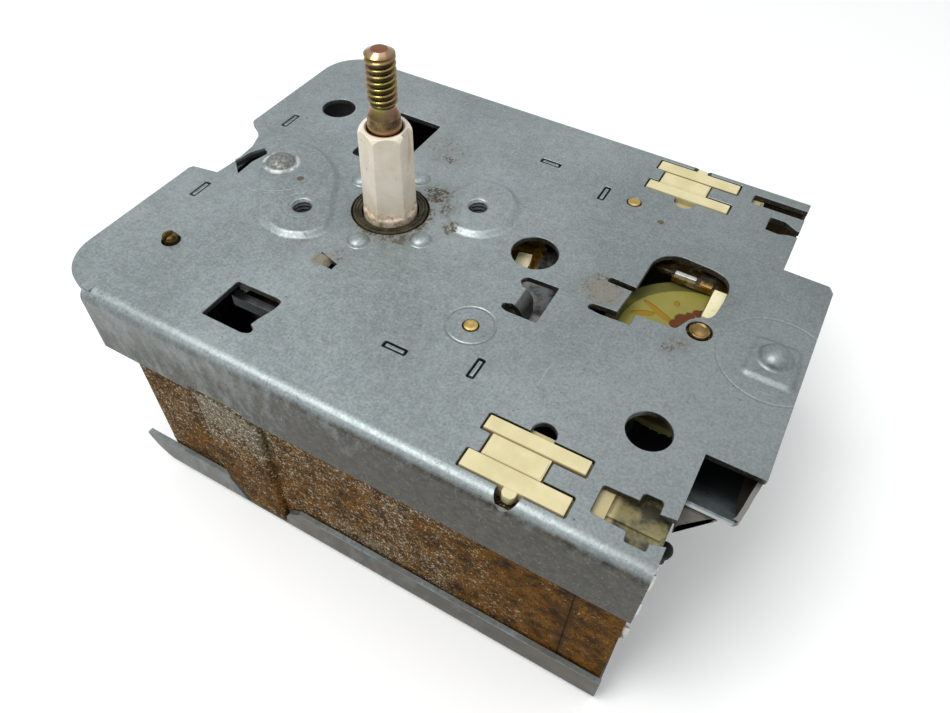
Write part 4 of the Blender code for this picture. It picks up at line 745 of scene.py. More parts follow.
def carved(base, steps):
    """The base after a run of exact Booleans, each (operation, bmesh)."""
    item = raw_object("work", base)
    for operation, tool_bm in steps:
        tool = raw_object("tool", tool_bm)
        modifier = item.modifiers.new("cut", "BOOLEAN")
        modifier.operation = operation
        modifier.solver = "EXACT"
        modifier.object = tool
        bpy.context.view_layer.update()
        found = bpy.data.meshes.new_from_object(item.evaluated_get(bpy.context.evaluated_depsgraph_get()))
        item.modifiers.clear()
        item.data = found
        bpy.data.objects.remove(tool, do_unlink=True)
    result = bmesh.new()
    result.from_mesh(item.data)
    bpy.data.objects.remove(item, do_unlink=True)
    return result


def piece(name, mesh_bm, body, material, replaces=(), sharp=34.0, weighted=True):
    """One visible piece in the frame, from a bmesh in millimetres."""
    bmesh.ops.remove_doubles(mesh_bm, verts=mesh_bm.verts, dist=0.0008)
    bmesh.ops.dissolve_degenerate(mesh_bm, dist=0.0005, edges=mesh_bm.edges)
    bmesh.ops.transform(mesh_bm, matrix=Matrix.Translation(ORIGIN) @ Matrix.Scale(MM, 4),
                        verts=mesh_bm.verts)
    item = raw_object(name, mesh_bm)
    item.data.materials.append(material)
    item.data.shade_smooth()
    item.data.set_sharp_from_angle(angle=math.radians(sharp))
    if weighted:
        modifier = item.modifiers.new("Even flats", "WEIGHTED_NORMAL")
        modifier.keep_sharp = True
    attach(item, body)
    if replaces:
        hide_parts(*replaces)
    return item


# Case


def channel(face, edge, segments=10):
    """Cross-section (y, z) of a plate whose two long sides are folded from the face towards the edge."""
    sign = 1 if face > edge else -1
    turns = [math.radians(90 * i / segments) for i in range(segments + 1)]

    def fold(radius):
        return [(HALF_WIDTH - BEND + radius * math.cos(a), face - sign * (BEND - radius * math.sin(a)))
                for a in turns]

    outer = [(HALF_WIDTH - 0.15, edge), (HALF_WIDTH, edge + sign * 0.15), *fold(BEND)]
    inner = [(HALF_WIDTH - SHEET, edge), *fold(BEND - SHEET)]
    outer += [(-y, z) for y, z in reversed(outer)]
    inner += [(-y, z) for y, z in reversed(inner)]
    return outer + inner[::-1]


def tenon_slots():
    return [(-33.8, -32.5, -15.5, -10.9), (-33.8, -32.5, 10.9, 15.6), (16.8, 21.0, 27.5, 28.8),
            (31.0, 32.3, 22.6, 26.9), (16.8, 21.0, -28.2, -26.9), (30.9, 32.2, -26.8, -22.6)]


def foot_outline(side):
    half = [(37.6, 31.0), (53.4, 31.0), (53.4, 33.6), (48.5, 33.6), (48.5, 37.5), (53.4, 37.5), (53.4, 40.5),
            (37.6, 40.5), (37.6, 37.8), (39.4, 37.8), (39.4, 33.6), (37.6, 33.6)]
    return mirrored(half, side)


def window_outlines():
    cam = [(40.9, -4.4, 0.5), (43.3, -4.7, 0.2), (48.3, -4.4, 0.2), (48.2, -1.8, 0.3), (54.9, -1.4, 0.6),
           (56.2, 1.8, 1.0), (57.5, 3.0, 0.6), (58.8, 3.5, 0.6), (59.5, 4.8, 0.8), (60.0, 10.8, 2.2),
           (59.1, 13.9, 2.2), (56.3, 14.9, 2.4), (49.8, 15.3, 2.6), (47.4, 14.0, 2.0), (46.3, 11.7, 1.0),
           (46.2, 4.0, 0.15), (41.4, 4.2, 0.6), (41.3, 3.0, 0.6), (45.9, 2.9, 0.15), (45.5, -2.8, 0.2),
           (41.0, -3.1, 0.6)]
    blade = [(-11.2, -36.9, 0.3), (-3.1, -36.9, 0.4), (-2.0, -36.4, 0.6), (-2.0, -35.4, 0.6),
             (-3.1, -34.9, 0.3), (-2.9, -33.6, 0.3), (-2.0, -30.3, 0.5), (-2.0, -28.5, 0.9),
             (-3.1, -28.3, 0.6), (-11.1, -28.5, 0.3)]
    drum = [(-16.2, 10.4, 1.2), (-5.9, 10.4, 0.5), (-5.9, 27.6, 0.5), (-16.2, 27.6, 0.5)]
    tongue = [(28.7, -11.3, 0.9), (29.7, -11.8, 0.6), (35.2, -11.7, 0.2), (35.1, -2.7, 0.2),
              (29.3, -3.0, 0.9), (28.7, -4.2, 0.6), (29.4, -5.1, 0.3), (29.8, -5.5, 0.1), (29.8, -9.9, 0.1),
              (29.4, -10.1, 0.3), (28.7, -10.3, 0.4)]
    corner = [(56.1, -38.2, 0.3), (61.3, -38.4, 0.2), (61.5, -39.9, 0.3), (64.4, -39.9, 0.3),
              (64.4, -38.6, 0.1), (67.5, -37.6, 0.0), (67.5, -33.6, 0.0), (64.2, -34.0, 0.2),
              (64.1, -31.9, 0.5), (61.3, -32.0, 0.5), (61.2, -33.4, 0.2), (56.1, -33.6, 0.3)]
    hook = [(60.8, 30.4, 0.2), (63.2, 30.2, 0.3), (64.8, 30.9, 0.3), (67.5, 31.2, 0.0), (67.5, 32.8, 0.0),
            (66.0, 32.8, 0.2), (63.6, 34.3, 0.3), (60.8, 34.3, 0.2)]
    ear = [(-32.9, -3.6), (-30.4, -6.0), (-30.6, -1.8), (-29.8, 1.7), (-30.8, 2.7), (-32.3, 0.1)]
    lance = [(-3.6, -15.7, 0.0), (-3.7, -18.1, 0.0), (0.2, -18.3, 0.0), (0.3, -16.8, 0.0)]
    found = [cam, blade, drum, tongue, corner, hook, ear, lance, rectangle(56.5, 67.5, 36.6, 39.4)]
    found += [rectangle(*slot) for slot in tenon_slots()]
    found += [inset(wound(foot_outline(side)), -GAP) for side in (-1, 1)]
    return found


def plate_holes():
    return [((0.0, 0.0), 7.1), ((-27.5, 22.2), 3.43), ((27.8, 3.05), 4.15), ((58.3, -22.2), 3.43),
            ((-MOUNT_X, -MOUNT_Y), 2.35), ((MOUNT_X, MOUNT_Y), 2.35), (DETENT_PIVOT, 1.35),
            (LEVER_PIVOT, 1.35), (LINE_POST, 1.6), (CAM_AXIS, 2.1), ((45.6, -41.4), 1.8),
            ((45.6, 41.4), 1.8), ((45.6, -30.2), 1.9), ((45.6, 30.2), 1.9)]


def pressed(outline, rise, base=0.0, shoulder=1.5, mesh=None):
    """A raised pad with a soft S-shaped shoulder."""
    outline = wound(outline)
    levels = [(base - 0.4, inset(outline, -0.35)), (base + 0.003, inset(outline, -0.35))]
    for i in range(1, 9):
        t = i / 8
        levels.append((base + rise * (3 * t**2 - 2 * t**3) + 0.004, inset(outline, -0.35 + shoulder * t)))
    return loft(levels, mesh=mesh)


def tapped_collar(centre, mesh):
    """The threaded throat of a mounting hole, with its turned-in mouth."""
    low, high, pitch, rows = -2.6, PAD_RISE - 0.06, 0.8, 40
    profile = [(2.45, low), (2.45, high), (2.3, high + 0.02), (2.12, high - 0.06)]
    profile += [(1.9, high - 0.18 - (high - low - 0.36) * i / rows) for i in range(rows + 1)]
    profile.append((2.05, low))

    def swell(index, turn, radius, height):
        if not 4 <= index <= 4 + rows:
            return radius
        phase = (height / pitch + turn) % 1.0
        return 1.72 + 0.3 * abs(2 * phase - 1)

    return lathe(profile, centre, 48, mesh, swell)


def front_plate():
    base = prism(channel(0.0, -FRONT_FLANGE), FLANGE_LEFT, RIGHT, lengthwise)
    side_y = HALF_WIDTH - 0.9
    end = [(-30.0, -side_y), *reversed(arc((LEFT + CORNER, -side_y + CORNER), CORNER, 180, 270, 16)),
           (LEFT, -9.4), (LEFT + 0.4, -8.7), (-33.9, -7.8), (-33.4, -3.0), (-33.8, 2.2), (-35.0, 5.4),
           (-36.5, 7.1), (LEFT + 0.3, 8.7), (LEFT, 9.4),
           *reversed(arc((LEFT + CORNER, side_y - CORNER), CORNER, 90, 180, 16)), (-30.0, side_y)]
    tongue = [(65.0, -21.9), (TONGUE_RIGHT - 0.2, -21.9), (TONGUE_RIGHT, -21.7), (TONGUE_RIGHT, 19.7),
              (74.3, 21.1), (65.0, 21.3)]
    steps = join(prism(end, -SHEET, 0.0)) + join(prism(tongue, -SHEET, 0.0))

    left = [(-25.8, -5.7), (-19.2, -13.7), (-13.5, -16.0), (-9.0, -14.8), (-6.4, -11.9), (-6.9, -8.4),
            (-9.9, -3.0), (-13.9, 3.4), (-20.6, 7.6), (-26.5, 7.6), (-29.2, 5.2), (-29.0, 0.5)]
    right = [(7.3, 10.0), (7.4, 7.6), (10.3, 2.7), (13.2, 0.6), (17.8, 1.5), (20.8, 5.2), (21.0, 9.8),
             (19.6, 13.3), (16.0, 16.3), (12.6, 16.7), (9.2, 15.0)]
    seat = rounded([(66.4, -5.0), (74.6, -5.0), (73.9, 3.8), (66.6, 3.8)], 1.4, 6)
    steps += join(pressed(smoothed(left), PAD_RISE))
    steps += join(pressed(smoothed(right), PAD_RISE))
    steps += join(pressed(seat, 0.45, shoulder=1.1))
    steps += join(button(DOMES[0], 2.7, PAD_RISE - 0.02, 1.5, None, skirt=0.9))
    steps += join(button(DOMES[1], 2.65, 0.43, 1.9, None, skirt=0.5))
    for degrees in (-89.8, -25.8, 90.2, 154.2):
        steps += join(button(polar(10.2, degrees), 1.9, 0.0, 1.0, None, 40, 0.22))

    for outline in window_outlines():
        levels = [(height, grown(outline, more, 0.3)) for height, more in
                  ((-3.0, 0.0), (-0.16, 0.0), (-0.05, 0.05), (0.05, 0.16))]
        steps += cut(loft(levels))
    for centre, radius in plate_holes():
        top = PAD_RISE if abs(radius - 2.35) < 0.01 else 0.0
        low = -2.2 if abs(centre[1]) > 40 else -3.0
        profile = [(0, low), (radius, low), (radius, top - 0.16), (radius + 0.05, top - 0.05),
                   (radius + 0.16, top + 0.05), (0, top + 0.05)]
        steps += cut(lathe(profile, centre, 56))
    notch = [(-12.6, -15.0), (-12.6, -12.4), (-2.2, -12.4), (1.3, -14.6), (1.3, -15.0)]
    for side in (-1, 1):
        ends = sorted((side * BEYOND, side * (HALF_WIDTH - SHEET - 0.15)))
        steps += cut(prism(notch, *ends, crosswise))
    roll = [(28.6, -0.5), (29.4, -0.503), *arc((29.4, -2.6), 2.1, 84, 12, 10), (31.62, -4.6)]
    steps += join(bent_path(roll, 0.99, crosswise, -9.85, -5.55))
    tab = [(-3.9, -0.42), (-3.2, -0.4), (-2.3, -0.62), (-1.3, -1.2)]
    steps += join(bent_path(tab, 0.7, crosswise, -18.4, -16.0))
    lip = [(-33.3, -3.4), (-32.9, -3.7), (-32.3, 0.05), (-30.9, 2.6), (-31.3, 2.9), (-32.8, 0.3)]
    steps += join(eased(lip, -0.9, 0.42, 0.12))
    plate = carved(base, steps)
    for sign in (-1, 1):
        tapped_collar((sign * MOUNT_X, sign * MOUNT_Y), plate)
    return plate


def rear_plate():
    top = -DEPTH + REAR_FLANGE
    base = prism(channel(-DEPTH, top), -33.0, RIGHT, lengthwise)
    steps = []
    for slot in tenon_slots():
        steps += cut(prism(rounded(rectangle(*slot), 0.3), -DEPTH - 2, -DEPTH + 3))
    steps += cut(prism(circle(5.6), -DEPTH - 2, -DEPTH + 3))
    for centre in ((71.0, 0.0), (27.0, 0.0)):
        steps += cut(prism(circle(2.2, centre), -DEPTH - 2, -DEPTH + 3))
    gap = rounded([(-11.6, top + 1, 0.0), (-11.6, top, 0.2), (-8.2, -DEPTH + 1.6, 1.0),
                   (1.5, -DEPTH + 1.6, 0.4), (1.5, top - 4.0, 0.8), (2.7, top - 1.6, 0.9), (5.2, top, 0.8),
                   (6.0, top + 1, 0.0)], 0.5)
    tip = rounded([(-34.0, -DEPTH - 1.0, 0.0), (-25.6, -DEPTH - 1.0, 0.0), (-27.6, -DEPTH + 1.2, 1.5),
                   (-31.2, -DEPTH + 4.2, 2.0), (-32.9, top - 1.0, 1.0), (-32.9, top - 0.4, 0.4),
                   (-31.9, top + 1.0, 0.0), (-34.0, top + 1.0, 0.0)], 0.5)
    for side in (-1, 1):
        ends = sorted((side * (HALF_WIDTH - SHEET - 0.2), side * BEYOND))
        steps += cut(prism(gap, *ends, crosswise))
        ends = sorted((side * (HALF_WIDTH - 2 * BEND), side * BEYOND))
        steps += cut(prism(tip, *ends, crosswise))
    return carved(base, steps)


def side_wall(side):
    """A long wall with its pressed-out panel, a small slot in the panel and a seam near the right end."""
    low, high = -DEPTH + BEND + 0.1, -BEND - 0.1
    faces = sorted((side * (WALL_OUT - WALL), side * WALL_OUT))
    base = prism(rectangle(-26.4, 66.0, low, high), *faces, crosswise)
    foot = INSIDE_LOW + 0.6
    panel = [(-7.6, foot), (1.1, foot), (1.1, -15.2), (-2.3, -12.9), (-12.2, -12.9), (-12.2, -39.4),
             (-11.0, -40.8)]
    levels = [(side * out_y, grown(panel, more, 1.4, 6)) for out_y, more in
              ((WALL_OUT - 0.5, 0.0), (WALL_OUT + 0.3, 0.0), (WALL_OUT + 0.9, -0.18),
               (HALF_WIDTH - 0.14, -0.45), (HALF_WIDTH - 0.02, -0.9))]
    steps = join(loft(levels, crosswise))
    hollow = [(side * out_y, grown(panel, -1.2, 2.0, 6)) for out_y in (WALL_OUT - 2.0, HALF_WIDTH - WALL)]
    steps += cut(loft(hollow, crosswise))
    slot = rounded([(-4.6, -29.6), (-1.4, -30.8), (-1.3, -30.0), (-4.2, -28.6)], 0.3)
    steps += cut(prism(slot, *sorted((side * 30.0, side * BEYOND)), crosswise))
    seam = rectangle(WALL_SEAM - 0.12, WALL_SEAM + 0.12, low - 1, high + 1)
    steps += cut(prism(seam, *sorted((side * (WALL_OUT - 0.18), side * 45.0)), crosswise))
    return carved(base, steps)


def end_bracket():
    """The open scoop under the tongue: a bowed sheet turned up to the plate, its outer wall and a tail."""
    run = [(-29.4, -1.8), (-29.25, -2.0), (-29.0, -2.3), (-28.4, -2.8), (-27.6, -3.4), (-26.2, -4.6),
           (-24.5, -5.9), (-22.8, -7.05), (-21.0, -8.0), (-19.2, -8.8), (-17.5, -9.4), (-16.2, -9.75),
           (-15.2, -9.8), (-14.6, -9.5), (-14.4, -8.8), (-14.4, INSIDE_TOP)]
    outside = [(72.4, -30.4), *arc((71.9, -27.9), 1.9, -76, -12, 10), (75.0, -21.5), (75.05, -11.0),
               (78.0, -11.0), (78.0, -30.4)]
    stations = [(-28.9, 73.2, -2.7), (-28.4, 73.5, -3.2), (-26.4, 73.85, -4.8), (-24.5, 74.1, -6.2),
                (-21.5, 74.6, -8.1), (-17.5, 74.7, -9.7), (-15.2, 74.7, -10.1), (-14.2, 74.7, -9.6)]
    wall = loft([(y, rectangle(x - BRACKET / 2, x + BRACKET / 2, low, INSIDE_TOP))
                 for y, x, low in stations], crosswise)
    tail = smoothed([(66.45, -33.9), (66.9, -32.9), (68.6, -31.5), (70.1, -30.0), (71.2, -29.3),
                     (69.0, -29.0), (66.6, -29.1)], 4)
    base = bent_path(run, BRACKET, lengthwise, 66.5, 74.9)
    return carved(base, cut(prism(outside, -12.0, 0.5)) + join(wall) + join(eased(tail, -3.0, -2.5, 0.12)))


def tenon(slot, low, mesh):
    """The staked end of a bracket's tenon, eased all round; bracket() splits the upper end with a shallow
    chisel mark.
    """
    x0, x1, y0, y1 = slot
    long_x = x1 - x0 > y1 - y0
    ends, sides = (0.45, 0.32) if long_x else (0.32, 0.45)
    outline = rectangle(x0 + ends, x1 - ends, y0 + sides, y1 - sides)
    if low > -DEPTH / 2:
        return eased(outline, low, -0.06, 0.16, mesh=mesh)
    return eased(outline, -DEPTH + 0.06, low, 0.16, mesh=mesh)


def bracket(plan, slots, arm=None):
    """A standing bracket whose tenons are staked into both plates."""
    steps = []
    for slot in slots:
        steps += join(tenon(slot, INSIDE_TOP - 0.5, None))
        steps += join(tenon(slot, INSIDE_LOW + 0.5, None))
        x0, x1, y0, y1 = slot
        x, y = (x0 + x1) / 2, (y0 + y1) / 2
        half_x, half_y = (0.08, (y1 - y0) / 2 - 0.9) if y1 - y0 > x1 - x0 else ((x1 - x0) / 2 - 0.9, 0.08)
        steps += cut(box(x - half_x, x + half_x, y - half_y, y + half_y, -0.16, 0.2))
    if arm:
        steps += join(eased(arm, -6.4, -4.0, 0.12))
    return carved(prism(plan, INSIDE_LOW, INSIDE_TOP), steps)


def strip(points, width):
    """The outline of a thin strip along a path."""
    sides = ([], [])
    for i, point in enumerate(points):
        here = Vector(point)
        into = (here - Vector(points[i - 1])).normalized() if i else None
        out = (Vector(points[i + 1]) - here).normalized() if i + 1 < len(points) else None
        along = (into + out).normalized() if into and out else (into or out)
        normal = Vector((-along.y, along.x))
        miter = 1 / max(0.4, normal.dot(Vector((-out.y, out.x)))) if out else 1.0
        for side, sign in zip(sides, (1, -1)):
            side.append(tuple(here + normal * (sign * miter * width / 2)))
    return sides[0] + sides[1][::-1]


def bracket_pieces(looks):
    slots = tenon_slots()
    left_x = (slots[0][0] + slots[0][1]) / 2
    plan = rectangle(left_x - BRACKET / 2, left_x + BRACKET / 2, -19.0, 40.0)
    piece("left_bracket_sheet", bracket(plan, slots[:2]), "case", looks["shaded_bracket"],
          ["left_bracket"])
    arm = rounded([(-13.4, -28.9), (15.4, -28.1), (15.4, -27.0), (-11.6, -27.3), (-12.4, -26.9),
                   (-13.4, -27.3)], 0.35, 3)
    for node, pair, extra in (("back_corner_bracket", slots[2:4], None),
                              ("front_corner_bracket", slots[4:6], arm)):
        wall_y = (pair[0][2] + pair[0][3]) / 2
        wall_x = (pair[1][0] + pair[1][1]) / 2
        radius = 1.1
        bend = math.copysign(radius, wall_y)
        path = [(15.0, wall_y), (wall_x - radius, wall_y), (wall_x - 0.32, wall_y - 0.32 * bend / radius),
                (wall_x, wall_y - bend), (wall_x, math.copysign(22.2, wall_y))]
        piece(f"{node}_sheet", bracket(strip(path, BRACKET), pair, extra), "case", looks["bracket"],
              [node])


def case_pieces(skin, wall, looks):
    piece("front_plate_sheet", front_plate(), "case", skin, ["front_plate"])
    piece("rear_plate_sheet", rear_plate(), "case", looks["rear"], ["rear_plate"])
    piece("front_wall_sheet", side_wall(-1), "case", wall, ["front_wall"])
    piece("back_wall_sheet", side_wall(1), "case", wall, ["back_wall"])
    piece("end_pocket", end_bracket(), "case", looks["pocket"], ["end_bracket"])


# Shaft


def bushing():
    profile = [(5.2, -6.2), (5.2, -0.1), (5.3, 0.0), (5.45, 0.02), (5.55, -0.12), (5.75, -0.12), (5.85, 0.1),
               (6.1, 0.12), (6.2, -0.05), (6.35, -0.05), (6.45, 0.14), (6.65, 0.12), (6.8, -0.1),
               (6.8, INSIDE_TOP), (9.0, INSIDE_TOP), (9.0, -2.6), (6.8, -2.6), (6.8, -6.2)]
    return lathe(profile, steps=96)


def sleeve():
    """The six-sided dial sleeve: each corner is cut by a round, and one face has a tapering groove."""
    body = [(3.06, -38.0), (4.85, -38.0), (4.85, 0.62), (4.8, 0.8), (4.74, 1.0), (4.56, 16.0), (4.48, 16.4),
            (4.2, 16.9), (4.02, 17.06), (3.85, 17.1), (3.25, 17.1), (3.1, 16.96), (3.06, 16.7)]
    steps = []
    for face in range(6):
        turn = math.radians(-54 + 60 * face)
        levels = []
        for height, reach in ((0.98, 4.16), (1.5, 4.12), (18.4, 4.02)):
            corners = ((reach, -5.0), (9.0, -5.0), (9.0, 5.0), (reach, 5.0))
            levels.append((height, [(u * math.cos(turn) - v * math.sin(turn),
                                     u * math.sin(turn) + v * math.cos(turn))
                                    for u, v in corners]))
        steps += cut(loft(levels))
    turn = math.radians(6.0)
    key = bmesh.new()
    groove = [(-1.3, 18.4), (-1.3, 12.3), (-0.95, 10.2), (-0.3, 9.2), (0.3, 9.0), (0.95, 10.2), (1.3, 12.3),
              (1.3, 18.4)]

    def on_face(u, v, w):
        return (w * math.cos(turn) - u * math.sin(turn), w * math.sin(turn) + u * math.cos(turn), v)

    prism(groove, 3.6, 6.0, on_face, key)
    steps += cut(key)
    return carved(lathe(body, steps=120), steps)


def stud():
    """The pull stud: shank, collar, cone and a rolled number 10-24 thread with a chamfered flat tip."""
    pitch, crest, root, depth = 25.4 / 24, 2.46, 2.02, 0.5
    start, end, rows = 21.4, 29.7, 132
    profile = [(0, -44.4), (2.4, -44.4), (2.5, -44.2), (2.5, 16.1), (2.8, 16.4), (2.84, 16.6), (2.84, 17.9),
               (2.76, 18.0), (2.74, 18.1), (2.76, 19.3), (2.7, 19.55), (2.5, 19.85), (2.15, 20.8),
               (root, 21.1)]
    first = len(profile)
    profile += [(crest, start + (end - start) * i / rows) for i in range(rows + 1)]
    profile += [(2.4, 29.76), (1.45, 30.3), (1.38, 30.37), (1.25, STUD_TOP), (0, STUD_TOP)]

    def swell(index, turn, radius, height):
        if not first <= index <= first + rows:
            return radius
        phase = (height / pitch - turn) % 1.0
        flank = min(1.0, max(0.0, (abs(2 * phase - 1) - 0.1) / 0.66))
        fade = min(1.0, (height - start + 0.2) / 0.6, (end - height + 0.05) / 0.8)
        rise = min(1.0, (height - start) / 0.5)
        outer = root + (crest - root) * rise
        return outer - depth * rise * max(0.0, fade) * (3 * flank**2 - 2 * flank**3)

    return lathe(profile, steps=72, swell=swell)


def shaft_pieces(looks):
    piece("bushing_ring", bushing(), "case", looks["bushing"], ["shaft_bushing"])
    piece("sleeve_body", sleeve(), "program_drum", looks["sleeve"], ["dial_sleeve"],
          sharp=20.0)
    piece("stud_thread", stud(), "stud", looks["stud"], ["pull_stud"], sharp=50.0,
          weighted=False)


# Fittings that show in the plate


def pin_profile(low, shoulder, radius, top, collar=2.2):
    return [(0, low), (radius - 0.1, low), (radius, low + 0.1), (radius, shoulder), (collar, shoulder),
            (collar, INSIDE_TOP), (radius, INSIDE_TOP), (radius, top - 0.25), (radius - 0.08, top - 0.1),
            (radius - 0.3, top), (radius * 0.35, top + 0.02), (0, top - 0.12)]


def fittings(looks):
    piece("detent_pin_turned", lathe(pin_profile(-10.2, -6.4, 1.2, 0.22), DETENT_PIVOT), "case",
          looks["brass"], ["detent_pin"])
    piece("lever_pin_turned", lathe(pin_profile(-7.6, -4.7, 1.2, 0.22), LEVER_PIVOT), "case", looks["brass"],
          ["lever_pin"])
    head = [(0, -14.6), (1.1, -14.6), (1.2, -14.5), (1.2, -3.6), (2.6, -3.6), (2.6, INSIDE_TOP),
            (1.7, INSIDE_TOP), (1.7, 0.02), (1.64, 0.16), (1.48, 0.24), (1.3, 0.16), (1.18, 0.02),
            (1.0, 0.02), (0.82, 0.14), (0, 0.16)]
    piece("arbor_head", lathe(head, CAM_AXIS), "case", looks["old_brass"], ["cam_arbor"])
    post = [(0, -9.7), (2.6, -9.7), (2.6, INSIDE_TOP), (1.25, INSIDE_TOP), (1.2, 0.3), (1.32, 0.7),
            (1.2, 1.1), (0.85, 1.28), (0, 1.3)]
    notch = prism([(LINE_POST[0] - 0.12, 0.3), (LINE_POST[0] + 0.12, 0.3), (LINE_POST[0] + 0.75, 2.0),
                   (LINE_POST[0] - 0.75, 2.0)], LINE_POST[1] - 3.0, LINE_POST[1] + 3.0, crosswise)
    piece("split_post", carved(lathe(post, LINE_POST), cut(notch)), "case", looks["worn_brass"],
          ["line_switch_post"])
    stop = [(0, -9.0), (0.7, -9.0), (0.7, -7.2), (1.1, -6.8), (1.25, -6.0), (1.15, -5.5), (0.9, -5.1),
            (0.5, -4.86), (0, -4.8)]
    piece("stop_head", lathe(stop, (66.55, -35.1)), "case", looks["rubber"], ["lead_stop"])


def switch_block(side, levels):
    body = mirrored([(37.2, 29.6), (58.0, 29.6), (58.0, 39.2), (65.2, 39.2), (65.2, 40.6), (37.2, 40.6)],
                    side)
    steps = []
    shelf_ends = sorted((side * 30.2, side * 39.9))
    for high, low in zip(levels, levels[1:]):
        middle = (high + low) / 2
        steps += join(box(57.5, 64.6, *shelf_ends, middle - 0.6, middle + 0.6))
    for level in levels:
        for blade_y in (32.1, 35.6):
            ends = sorted((side * (blade_y - 0.55), side * (blade_y + 0.55)))
            steps += cut(box(36.0, 58.2, *ends, level - 2.7, level + 2.7))
    for near, far in ((31.0, 33.6), (37.5, 40.5)):
        bar = mirrored(rounded([(37.6, near), (53.4, near), (53.4, far), (37.6, far)], 0.2, 3), side)
        steps += join(eased(bar, INSIDE_TOP - 0.4, 0.04, 0.16))
    middle = mirrored([(39.4, 33.5), (48.5, 33.5), (48.5, 37.6), (39.4, 37.6)], side)
    steps += join(prism(middle, INSIDE_TOP - 0.4, -0.16))
    raised = mirrored(rounded([(39.5, 34.1), (48.4, 34.1), (48.4, 37.0), (47.9, 37.3), (39.5, 37.3)], 0.25,
                              3), side)
    steps += join(eased(raised, INSIDE_TOP - 0.3, -0.02, 0.14))
    if side < 0:
        steps += join(box(57.4, 66.15, -39.7, -30.4, -3.6, -2.6, edge=0.15))
        steps += join(box(57.7, 65.6, -36.4, -35.8, -3.2, -2.1, edge=0.12))
    else:
        steps += cut(box(58.6, 66.2, 37.6, 41.6, -16.0, 0.0))
    nub = mirrored(rounded([(44.6, 40.2), (46.7, 40.2), (46.7, 41.3), (46.2, 41.8), (45.1, 41.8),
                            (44.6, 41.3)], 0.3, 3),
                   side)
    steps += join(eased(nub, INSIDE_TOP - 0.6, -0.12, 0.15))
    return carved(prism(body, INSIDE_LOW, INSIDE_TOP), steps)


def gear_outline(teeth, centre, facing, module=0.5):
    pitch = 360 / teeth
    root = module * (teeth / 2 - 1.2)
    tip = module * (teeth / 2 + 0.8)
    flank = ((-0.24, root), (-0.08, tip), (0.08, tip), (0.24, root))
    return [polar(radius, facing + pitch * (tooth + share), centre) for tooth in range(teeth)
            for share, radius in flank]


def snail_cam():
    gear = prism(gear_outline(44, CAM_AXIS, -120.0), -14.0, -8.3)
    rim = [(-8.5, 15.3), (-8.3, 15.5), (-7.2, 15.5), (-7.02, 15.35), (-6.98, 15.1)]
    disc = loft([(height, circle(radius, CAM_AXIS, 120)) for height, radius in rim])
    rise = [(*polar(7.8 + 7.2 * i / 60, 24.0 + 2.5 * i, CAM_AXIS), 0 if i < 60 else 0.8) for i in range(61)]
    low = [(*polar(7.8, 177.0 + 4.5 * i, CAM_AXIS), 0 if i else 0.8) for i in range(46)]
    levels = [(height, grown(rise + low, more, 0.0, 5)) for height, more in
              ((-7.4, 0.0), (-4.75, 0.0), (-4.5, -0.1), (-4.42, -0.3))]
    bore = prism(circle(1.5, CAM_AXIS), -20.0, 0.0)
    rim = [(-4.8, 15.35), (-4.7, 15.5), (-4.4, 15.5), (-4.26, 15.4), (-4.2, 15.2)]
    cover = loft([(height, circle(radius, CAM_AXIS, 120)) for height, radius in rim])
    face = loft([(height, circle(radius, CAM_AXIS, 96)) for height, radius in
                 ((-4.6, 13.1), (-4.1, 13.1), (-4.03, 13.03), (-4.0, 12.9))])
    return carved(gear, join(disc) + join(loft(levels)) + join(cover) + join(face) + cut(bore))


def cam_fittings(looks):
    sheet = rounded([(45.0, 13.5), (49.4, 13.5), (50.0, 12.4), (57.3, 12.4), (57.3, 4.8), (60.0, 4.8),
                     (60.0, 19.5), (45.0, 19.5)], 0.35, 3)
    guard = eased(sheet, -3.4, -2.4, 0.12)
    box(46.0, 59.0, 16.6, 19.5, -2.5, INSIDE_TOP, guard)
    piece("cam_guard", guard, "case", looks["greasy"], ["cam_bracket"])
    piece("bright_lug", box(50.2, 54.2, 12.4, 13.5, -2.44, -1.5, edge=0.28), "case", looks["bright"])
    piece("copper_lug", box(54.7, 57.1, 12.4, 13.6, -2.44, -1.9, edge=0.2), "case", looks["copper"])
    piece("guard_pad", box(57.5, 59.8, 5.0, 12.2, -2.44, -1.5, edge=0.2), "case", looks["stained_cream"])


# Scene


def world_and_lights():
    world = bpy.data.worlds.new("studio")
    bpy.context.scene.world = world
    world.use_nodes = True
    world.node_tree.nodes["Background"].inputs["Color"].default_value = (0.97, 0.99, 1.0, 1.0)
    world.node_tree.nodes["Background"].inputs["Strength"].default_value = 0.66
    for name, place, size, power, colour in (
        ("overhead", (-0.17, -0.26, 0.62), 0.3, 2.6, (1.0, 0.99, 0.97)),
        ("top_fill", (0.1, 0.1, 0.9), 0.7, 1.2, (0.98, 0.99, 1.0)),
    ):
        light = bpy.data.lights.new(name, "AREA")
        light.shape = "SQUARE"
        light.size = size
        light.energy = power
        light.color = colour
        item = bpy.data.objects.new(name, light)
        bpy.context.collection.objects.link(item)
        item.location = place
        item.rotation_euler = (-Vector(place) + Vector((0.0, 0.0, 0.04))).to_track_quat("-Z", "Y").to_euler()


def camera():
    data = bpy.data.cameras.new("camera")
    data.sensor_width = 36.0
    data.lens = LENS
    data.clip_start = 0.005
    item = bpy.data.objects.new("camera", data)
    bpy.context.collection.objects.link(item)
    axes = (Vector(CAMERA_RIGHT), -Vector(CAMERA_DOWN), -Vector(CAMERA_AHEAD))
    turn = Matrix(axes).transposed().to_4x4()
    item.matrix_world = Matrix.Translation(ORIGIN + Vector(CAMERA_PLACE) * MM) @ turn
    bpy.context.scene.camera = item


